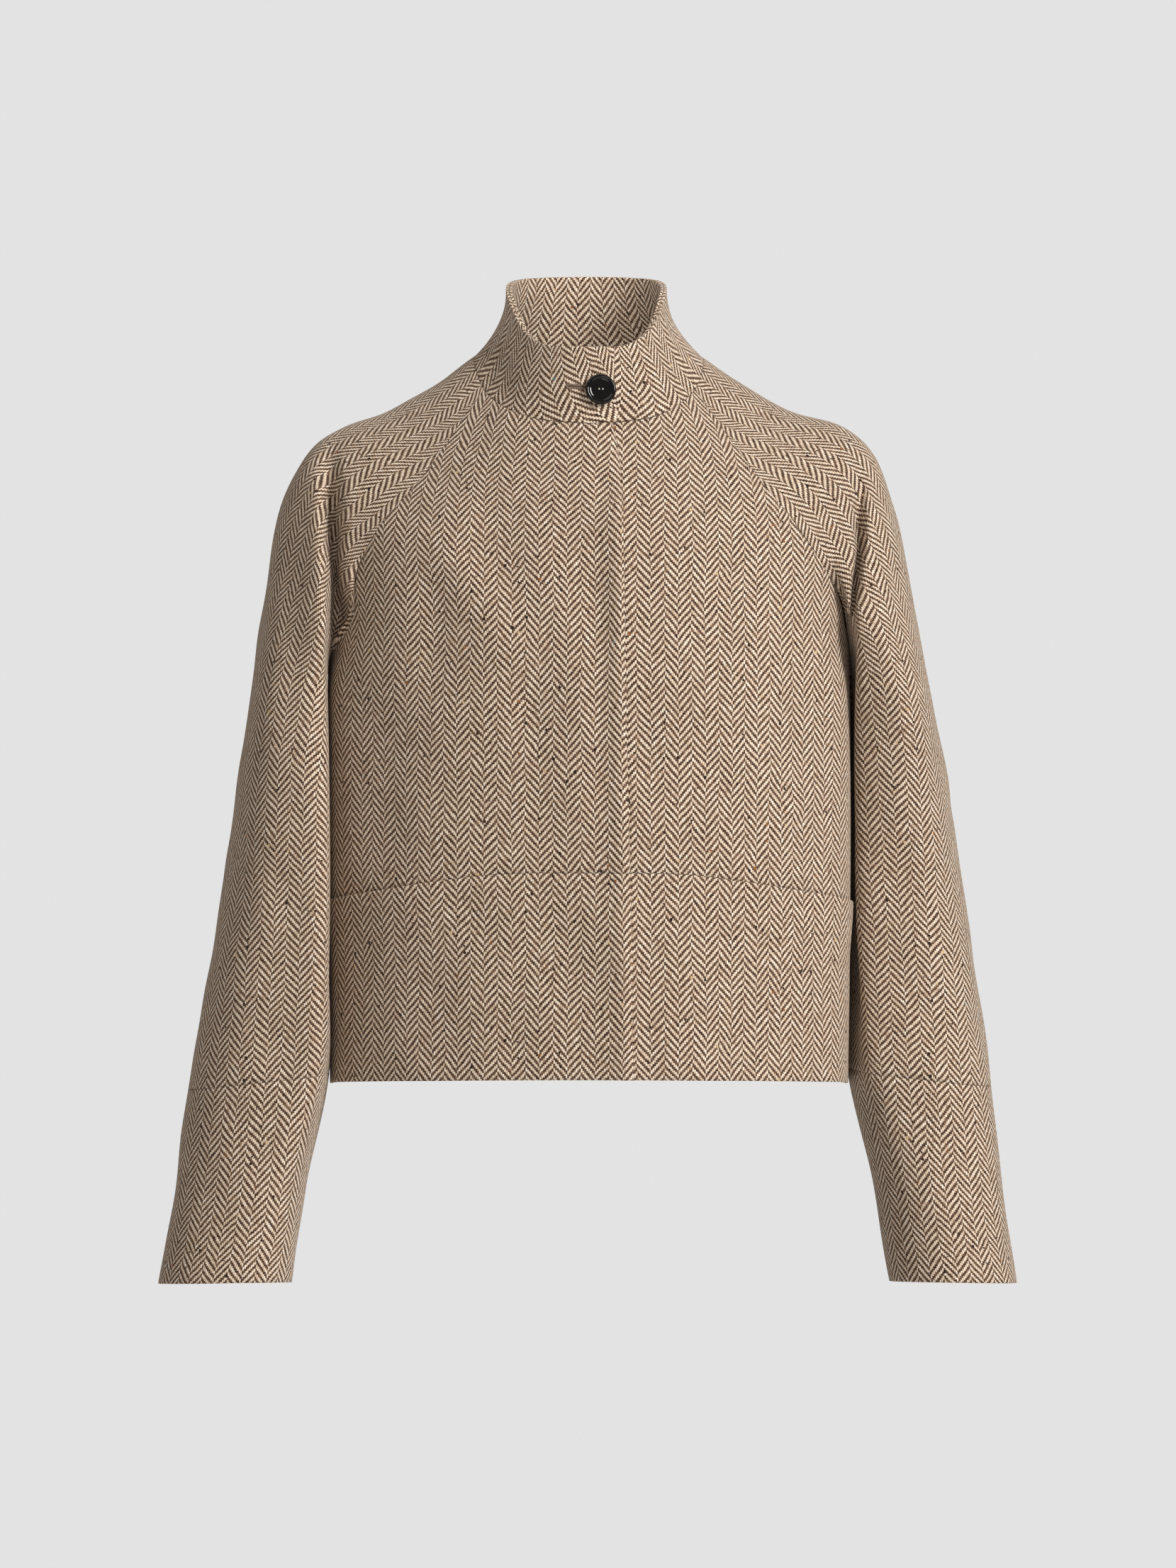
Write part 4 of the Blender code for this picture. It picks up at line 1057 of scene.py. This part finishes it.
for part in SLEEVE_PARTS:
    eased = hanging_sleeve_point(*np.meshgrid(around_sleeve, part.stations), part.side, FOLD_IN_GRAIN)
    piece = panel(
        f"{part.node}_panel", lambda around, station: hanging_sleeve_point(around, station, part.side),
        around_sleeve, part.stations, lambda points: sleeve_grain(eased), SLEEVE_CREASES,
        counts_down=True, mirrored=part.side < 0,
    )
    sew_in(piece, part.node)


# Collar and its facing
# A funnel collar cut in one curved piece from tweed, with a facing of the same cloth inside, seamed to it
# along the top and to the body round the neck. Its right end laps over the left one.

COLLAR_HALF_WIDTH = 0.057
COLLAR_FRONT = 0.076
COLLAR_BACK = 0.060
COLLAR_LAP = 0.020
COLLAR_LEAN = 0.0018
COLLAR_LEAN_RISE = 0.6
COLLAR_UNDERLAP = 0.026
COLLAR_LENGTH = 0.520
COLLAR_HEIGHT = 0.066
COLLAR_FINENESS = 1.6
COLLAR_SLANT = np.radians(29)
COLLAR_SLANT_START = 112

COLLAR_CREASES = (
    Crease("front", (-0.066, 0.012), (-0.046, -0.044), -0.004, 0.010, 0.0016),
    Crease("front", (0.064, 0.010), (0.050, -0.040), 0.004, 0.010, 0.0012),
)


def collar_point(bearing, rise):
    """Outer face of the collar. Bearing is counted from the centre front, by the wearer's left."""
    around = np.abs((bearing + np.pi) % (2 * np.pi) - np.pi)
    inward = 1 - (1 - np.minimum(rise, 1.0)) ** neck.read(np.degrees(around), "flare")
    depth = np.where(
        np.cos(around) > 0, mix(NECK_FRONT, COLLAR_FRONT, inward), mix(NECK_BACK, COLLAR_BACK, inward)
    )
    across = mix(NECK_HALF_WIDTH, COLLAR_HALF_WIDTH, inward) * np.sin(bearing)
    height = mix(neck_point(around)[..., 2], neck.read(np.degrees(around), "collar_height"), rise)
    across = across - COLLAR_LEAN * ease(0, COLLAR_LEAN_RISE, rise)
    return np.stack((across, -depth * np.cos(around), height), axis=-1)


def lapped_collar_point(share, rise):
    """Collar from its left end, 0, round the back to its right end, 1, which lies over the left one."""
    half_width = mix(NECK_HALF_WIDTH, COLLAR_HALF_WIDTH, np.minimum(rise, 1.0))
    start = -np.arcsin(COLLAR_UNDERLAP / half_width)
    end = 2 * np.pi + np.arcsin(COLLAR_LAP / half_width)
    bearing = mix(start, end, share)
    points = collar_point(bearing, rise)
    return np.where((bearing < np.pi / 2)[..., None], drawn_under(points), points)


def collar_grain(points):
    """The weave is straight round the back and slants more to the front, as the curved cut lays it."""
    middle = points[points.shape[0] // 2]
    stretch = np.linalg.norm(np.diff(middle, axis=0), axis=-1)
    bearing = np.degrees(np.unwrap(np.arctan2(middle[:, 0], -middle[:, 1])))
    bearing = bearing - bearing[len(bearing) // 2]
    to_front = np.clip((np.abs(bearing) - COLLAR_SLANT_START) / (180 - COLLAR_SLANT_START), 0.0, None)
    slant = -np.sign(bearing) * COLLAR_SLANT * to_front
    run = stretch * np.exp(1j * (slant[1:] + slant[:-1]) / 2)
    line = np.concatenate(((0.0,), np.cumsum(run)))
    line = line - line[len(line) // 2]
    rise = np.linalg.norm(np.diff(points, axis=0), axis=-1)
    height = np.concatenate((np.zeros((1, points.shape[1])), np.cumsum(rise, axis=0)))
    height = height - height[points.shape[0] // 2]
    place = line + height * 1j * np.exp(1j * slant)
    return np.stack((place.real, place.imag), axis=-1)


Band = namedtuple("Band", "node sunk cut hangs_from")
BANDS = (
    Band("collar", 0.0, Cut(0.517, 0.090, 0.0303), ("back", "left_sleeve", "right_sleeve")),
    Band("collar_facing", CLOTH + SEAM_GAP, Cut(0.502, 0.090, 0.0298), ("collar",)),
)
for band in BANDS:
    piece = panel(
        f"{band.node}_panel", lapped_collar_point, stations(0, COLLAR_FINENESS * COLLAR_LENGTH, 1),
        stations(0, COLLAR_FINENESS * COLLAR_HEIGHT, 1), collar_grain, COLLAR_CREASES, sunk=band.sunk,
    )
    sew_in(piece, band.node)


# Buttonhole
# A slit worked across the collar's right end, with a near-black cord along it as painted shadow of the slit,
# and both lips bound in close stitches of a brown thread that matches the cloth.

BUTTONHOLE_RISE = 0.470
BUTTONHOLE_BEARINGS = np.radians((-11.3, 6.0))
SLIT_SHADOW_WIDTH = 0.0006
BIND_LENGTH = 0.0016
BIND_PITCH = 0.0006
BIND_THREAD = 0.0004
BIND_STEPS = 7
THREAD_SIDES = 8
THREAD_TWIST = 0.0005
THREAD_BUMP = 0.5
THREAD_SKEW = (0.31, 0.17, 0.23)

bind_thread_material = bpy.data.materials.new("brown sewing thread")
# The slit's cord is painted shadow: near black, standing for the dark inside of the slit
slit_shadow_material = bpy.data.materials.new("near-black slit shadow cord")
pale_thread_material = bpy.data.materials.new("pale sewing thread")


def on_collar(bearing, rise):
    """Points of the collar with its creases, and the direction in which they face."""
    points = collar_point(bearing, rise)
    outward = normal_of(collar_point, bearing, rise)
    return points + outward * crease_relief(points, outward, COLLAR_CREASES)[..., None], outward


def threads(name, paths, thickness, material):
    """Round threads along paths, as one mesh with closed ends."""
    verts, faces = [], []
    turn = np.linspace(0, 2 * np.pi, THREAD_SIDES, endpoint=False)
    ring = np.arange(THREAD_SIDES)
    for path in paths:
        path = np.asarray(path)
        along = unit(np.gradient(path, axis=0))
        sideways = unit(np.cross(along, np.roll(along, 1, axis=-1) + THREAD_SKEW))
        upright = np.cross(along, sideways)
        rim = np.cos(turn)[None, :, None] * sideways[:, None] + np.sin(turn)[None, :, None] * upright[:, None]
        first = sum(len(part) for part in verts)
        verts.append((path[:, None] + rim * thickness / 2).reshape(-1, 3))
        for step in range(len(path) - 1):
            low = first + step * THREAD_SIDES
            quads = np.stack((low + ring, low + np.roll(ring, -1)), axis=-1)
            faces.extend(np.concatenate((quads, quads[:, ::-1] + THREAD_SIDES), axis=-1).tolist())
        faces.append((first + ring[::-1]).tolist())
        faces.append((first + (len(path) - 1) * THREAD_SIDES + ring).tolist())
    mesh = bpy.data.meshes.new(name)
    mesh.from_pydata(np.concatenate(verts).tolist(), [], faces)
    mesh.shade_smooth()
    mesh.materials.append(material)
    piece = bpy.data.objects.new(name, mesh)
    bpy.context.scene.collection.objects.link(piece)
    return piece


# Twisted thread: fine ridges a thread's width apart, coloured lighter on top than between as painted shade
for thread_material, light, dark in (
    (bind_thread_material, "#9d8470", "#6d5544"),
    # Near black for the slit's painted shadow
    (slit_shadow_material, "#2b1e16", "#120b07"),
    (pale_thread_material, "#f2eadb", "#c3b59f"),
):
    thread_material.use_nodes = True
    tree = thread_material.node_tree
    place = add_node(tree, "TexCoord", {})["Object"]
    twist = noise(tree, place, THREAD_TWIST, detail=2.0)[0]
    # Painted shade: darker between the ridges, lighter on their tops
    tone = add_node(tree, "Mix", {0: twist, 6: linear(dark), 7: linear(light)}, data_type="RGBA")[2]
    ridge = {"Strength": THREAD_BUMP, "Distance": BIND_THREAD / 4, "Height": twist}
    ridges = add_node(tree, "Bump", ridge)[0]
    thread = tree.nodes["Principled BSDF"]
    thread.inputs["Roughness"].default_value = 0.75
    thread.inputs["Sheen Weight"].default_value = 0.15
    tree.links.new(tone, thread.inputs["Base Color"])
    tree.links.new(ridges, thread.inputs["Normal"])

slit_stitches = round(np.ptp(BUTTONHOLE_BEARINGS) * COLLAR_FRONT / BIND_PITCH)
slit_bearings = np.linspace(*BUTTONHOLE_BEARINGS, slit_stitches)
slit, slit_outward = on_collar(slit_bearings, np.full_like(slit_bearings, BUTTONHOLE_RISE))
slit_along = unit(np.gradient(slit, axis=0))
slit_up = np.cross(slit_outward, slit_along)
# Painted shadow: a near-black cord along the slit
slit_shadow = threads("buttonhole_slit_shadow", [slit], SLIT_SHADOW_WIDTH, slit_shadow_material)
bind_turn = np.linspace(0, np.pi, BIND_STEPS)
binding_paths = []
for lip in (-1, 1):
    for centre, up, outward in zip(slit, slit_up, slit_outward):
        from_slit = SLIT_SHADOW_WIDTH / 2 + BIND_LENGTH * (1 - np.cos(bind_turn)) / 2
        over = BIND_THREAD * np.sin(bind_turn) - BIND_THREAD / 3
        binding_paths.append(centre + lip * from_slit[:, None] * up + over[:, None] * outward)
binding = threads("buttonhole_binding", binding_paths, BIND_THREAD, bind_thread_material)
for piece in (slit_shadow, binding):
    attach(piece, "root")


# Button
# A dished button turned from black polyester resin and polished, sewn through its two holes to the collar
# with pale thread.

BUTTON_DIAMETER = 0.0215
BUTTON_THICKNESS = 0.0042
BUTTON_RIM = 0.0022
BUTTON_DISH = 0.0011
BUTTON_HOLE = 0.0013
BUTTON_HOLE_SPACING = 0.0026
BUTTON_BEARING = np.radians(7.4)
BUTTON_RISE = 0.42
BUTTON_STAND = 0.0008
BUTTON_SIDES = 96
BUTTON_RINGS = 72
SEWING_THREAD = 0.00038
SEWING_RISE = 0.0005
SCRATCH_LENGTH = 0.0009
SCRATCH_LOW, SCRATCH_HIGH = 0.3, 0.7
POLISH_FINE, POLISH_WORN = 0.03, 0.09
SMOOTH_ANGLE = np.radians(35)

button_radius = BUTTON_DIAMETER / 2
dish_radius = button_radius - BUTTON_RIM
ProfilePoint = namedtuple("ProfilePoint", "place radius height")
BUTTON_PROFILE = (
    ProfilePoint(0, 0.0, BUTTON_THICKNESS - BUTTON_DISH),
    ProfilePoint(1, 0.55 * dish_radius, BUTTON_THICKNESS - BUTTON_DISH),
    ProfilePoint(2, 0.85 * dish_radius, BUTTON_THICKNESS - 0.8 * BUTTON_DISH),
    ProfilePoint(3, dish_radius, BUTTON_THICKNESS - 0.2 * BUTTON_DISH),
    ProfilePoint(4, dish_radius + 0.4 * BUTTON_RIM, BUTTON_THICKNESS),
    ProfilePoint(5, button_radius - 0.3 * BUTTON_RIM, 0.9 * BUTTON_THICKNESS),
    ProfilePoint(6, button_radius, 0.6 * BUTTON_THICKNESS),
    ProfilePoint(7, 0.92 * button_radius, 0.25 * BUTTON_THICKNESS),
    ProfilePoint(8, 0.55 * button_radius, 0.0),
    ProfilePoint(9, 0.0, 0.0),
)

# One strand of thread over the button's bridge: how far across in thread widths, what share of the dish
# floor's height, and how far past that in sewing rises
StrandPoint = namedtuple("StrandPoint", "across floor_share lift")
STRAND = (
    StrandPoint(-1.0, 0.0, -2.0),
    StrandPoint(-1.0, 0.9, -0.2),
    StrandPoint(-0.9, 1.0, 0.2),
    StrandPoint(-0.6, 1.0, 0.8),
    StrandPoint(0.0, 1.0, 1.0),
    StrandPoint(0.6, 1.0, 0.8),
    StrandPoint(0.9, 1.0, 0.2),
    StrandPoint(1.0, 0.9, -0.2),
    StrandPoint(1.0, 0.0, -2.0),
)

# Black resin, polished: a deep black with sharp reflections, and hair-fine scratches from wear
resin_material = bpy.data.materials.new("polished black resin")
resin_material.use_nodes = True
resin = resin_material.node_tree
place = add_node(resin, "TexCoord", {})["Object"]
scratches = noise(resin, place, SCRATCH_LENGTH, detail=4.0)[0]
polish = add_node(
    resin, "MapRange", {0: scratches, 1: SCRATCH_LOW, 2: SCRATCH_HIGH, 3: POLISH_FINE, 4: POLISH_WORN}
)[0]
black = add_node(
    resin, "Mix", {0: scratches, 6: linear("#060505"), 7: linear("#0e0c0b")}, data_type="RGBA"
)[2]
resin_shader = resin.nodes["Principled BSDF"]
resin_shader.inputs["IOR"].default_value = 1.55
resin_shader.inputs["Specular IOR Level"].default_value = 0.35
resin.links.new(polish, resin_shader.inputs["Roughness"])
resin.links.new(black, resin_shader.inputs["Base Color"])

seat = collar_point(BUTTON_BEARING, np.array(BUTTON_RISE))
button_axis = normal_of(collar_point, np.array(BUTTON_BEARING), np.array(BUTTON_RISE))
button_side = unit(np.cross((0.0, 0.0, 1.0), button_axis))
button_frame = np.stack((button_side, np.cross(button_axis, button_side), button_axis))
button_centre = seat + button_axis * BUTTON_STAND


def turned(name, radii, heights, sides, across, material):
    """Solid turned about the button's axis, or about a line beside it, from radii and heights that start
    and end on that line."""
    turn = np.linspace(0, 2 * np.pi, sides, endpoint=False)
    rings = np.stack(np.broadcast_arrays(
        radii[1:-1, None] * np.cos(turn) + across, radii[1:-1, None] * np.sin(turn), heights[1:-1, None]
    ), axis=-1).reshape(-1, 3)
    poles = np.array(((across, 0.0, heights[0]), (across, 0.0, heights[-1])))
    verts = np.concatenate((rings, poles)) @ button_frame + button_centre
    ring, after = np.arange(sides), np.roll(np.arange(sides), -1)
    faces = []
    for low in range(0, len(rings) - sides, sides):
        high = low + sides
        faces.extend(np.stack((low + ring, high + ring, high + after, low + after), axis=-1).tolist())
    last = len(rings) - sides
    faces.extend(np.stack((np.full(sides, len(rings)), ring, after), axis=-1).tolist())
    faces.extend(np.stack((np.full(sides, len(rings) + 1), last + after, last + ring), axis=-1).tolist())
    mesh = bpy.data.meshes.new(name)
    mesh.from_pydata(verts.tolist(), [], faces)
    mesh.materials.append(material)
    piece = bpy.data.objects.new(name, mesh)
    bpy.context.scene.collection.objects.link(piece)
    return piece


profile = Table(BUTTON_PROFILE)
ring_places = np.linspace(0, BUTTON_PROFILE[-1].place, BUTTON_RINGS)
button = turned(
    "button_resin", profile.read(ring_places, "radius"), profile.read(ring_places, "height"), BUTTON_SIDES,
    0.0, resin_material,
)
sewing_paths = []
dish_floor = BUTTON_THICKNESS - BUTTON_DISH
strand_across, floor_share, lift = np.array(STRAND).T
drill_radii = np.array((0.0, BUTTON_HOLE / 2, BUTTON_HOLE / 2, 0.0))
drill_top, drill_foot = 2 * BUTTON_THICKNESS, -BUTTON_THICKNESS
drill_heights = np.array((drill_top, drill_top, drill_foot, drill_foot))
for side in (-1, 1):
    across = side * BUTTON_HOLE_SPACING / 2
    drill = turned(f"drill_{side}", drill_radii, drill_heights, BUTTON_SIDES // 2, across, resin_material)
    cut = button.modifiers.new(drill.name, "BOOLEAN")
    cut.object = drill
    cut.operation = "DIFFERENCE"
    cut.solver = "EXACT"
    bpy.context.view_layer.update()
    holed = bpy.data.meshes.new_from_object(button.evaluated_get(bpy.context.evaluated_depsgraph_get()))
    button.modifiers.clear()
    button.data = holed
    bpy.data.objects.remove(drill)
    for strand in (-1, 0, 1):
        rises = floor_share * dish_floor + lift * SEWING_RISE
        sideways = np.full_like(rises, strand * SEWING_THREAD)
        arch = np.stack((across + strand_across * SEWING_THREAD, sideways, rises), axis=-1)
        sewing_paths.append(arch @ button_frame + button_centre)
button.data.shade_smooth()
button.data.set_sharp_from_angle(angle=SMOOTH_ANGLE)
sewing = threads("button_thread", sewing_paths, SEWING_THREAD, pale_thread_material)
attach(button, "root")
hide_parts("button")
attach(sewing, "root")


# Floor, light and camera
# A pale floor far below the hem and soft light from the front, stronger from the wearer's left.

FLOOR_HEIGHT = -1.42
FLOOR_SIZE = 8.0
BACKGROUND, ROOM = "#e3e3e3", "#8a8682"
IMAGE_HEIGHT = 2212
MILLIMETRES_A_PIXEL = 0.5
CAMERA_DISTANCE = 5.0
CAMERA_X, CAMERA_HEIGHT = -0.00075, -0.298
SENSOR = 36.0
CLIP_END = 100.0
COLLAR_LAMP_PLACE = (-0.5, -2.7, 2.4)
COLLAR_LAMP_AIM = (0.012, 0.045, 0.022)
COLLAR_LAMP_CONE = np.radians(1.9)
COLLAR_LAMP_BLEND = 0.6
COLLAR_LAMP_RADIUS = 0.05
COLLAR_LAMP_WATTS = 470.0

floor_mesh = bpy.data.meshes.new("floor")
half_floor = FLOOR_SIZE / 2
floor_mesh.from_pydata(
    [(x * half_floor, y * half_floor, FLOOR_HEIGHT) for x, y in ((-1, -1), (1, -1), (1, 1), (-1, 1))],
    [],
    [(0, 1, 2, 3)],
)
floor = bpy.data.objects.new("floor", floor_mesh)
bpy.context.scene.collection.objects.link(floor)

# Matt paper: a pale grey with no shine
floor_material = bpy.data.materials.new("matt paper")
floor_material.use_nodes = True
paper = floor_material.node_tree.nodes["Principled BSDF"]
paper.inputs["Base Color"].default_value = linear("#dedede")
paper.inputs["Roughness"].default_value = 0.9
floor_mesh.materials.append(floor_material)

world = bpy.data.worlds.new("studio")
world.use_nodes = True
seen = add_node(world.node_tree, "LightPath", {})["Is Camera Ray"]
shown = add_node(world.node_tree, "Mix", {0: seen, 6: linear(ROOM), 7: linear(BACKGROUND)}, data_type="RGBA")
world.node_tree.links.new(shown[2], world.node_tree.nodes["Background"].inputs["Color"])
bpy.context.scene.world = world
bpy.context.scene.view_settings.view_transform = "Standard"

Lamp = namedtuple("Lamp", "name place aim width height watts")
LAMPS = (
    Lamp("key", (3.75, -3.75, 2.65), (0.0, 0.0, -0.28), 1.5, 2.0, 338.0),
    Lamp("front", (0.2, -4.6, -0.6), (0.0, 0.0, -0.3), 1.8, 1.8, 21.0),
    Lamp("top", (-1.1, -1.0, 2.6), (0.0, 0.0, -0.1), 2.4, 2.4, 17.0),
    Lamp("back", (0.8, 4.0, 0.6), (0.0, 0.0, -0.2), 2.0, 2.0, 45.0),
)
for lamp in LAMPS:
    light = bpy.data.lights.new(lamp.name, "AREA")
    light.shape = "RECTANGLE"
    light.size, light.size_y, light.energy = lamp.width, lamp.height, lamp.watts
    lit = bpy.data.objects.new(lamp.name, light)
    lit.location = lamp.place
    lit.rotation_euler = (Vector(lamp.aim) - Vector(lamp.place)).to_track_quat("-Z", "Y").to_euler()
    bpy.context.scene.collection.objects.link(lit)

# A snooted lamp that shines only into the collar
collar_light = bpy.data.lights.new("collar lamp", "SPOT")
collar_light.energy = COLLAR_LAMP_WATTS
collar_light.spot_size = COLLAR_LAMP_CONE
collar_light.spot_blend = COLLAR_LAMP_BLEND
collar_light.shadow_soft_size = COLLAR_LAMP_RADIUS
collar_lamp = bpy.data.objects.new("collar lamp", collar_light)
collar_lamp.location = COLLAR_LAMP_PLACE
collar_beam = Vector(COLLAR_LAMP_AIM) - Vector(COLLAR_LAMP_PLACE)
collar_lamp.rotation_euler = collar_beam.to_track_quat("-Z", "Y").to_euler()
bpy.context.scene.collection.objects.link(collar_lamp)

camera = bpy.data.cameras.new("camera")
camera.sensor_width = SENSOR
camera.lens = SENSOR * CAMERA_DISTANCE / (IMAGE_HEIGHT * MILLIMETRES_A_PIXEL / 1000)
camera.clip_end = CLIP_END
camera_object = bpy.data.objects.new("camera", camera)
camera_object.location = (CAMERA_X, -CAMERA_DISTANCE, CAMERA_HEIGHT)
camera_object.rotation_euler = (np.pi / 2, 0, 0)
bpy.context.scene.collection.objects.link(camera_object)
bpy.context.scene.camera = camera_object
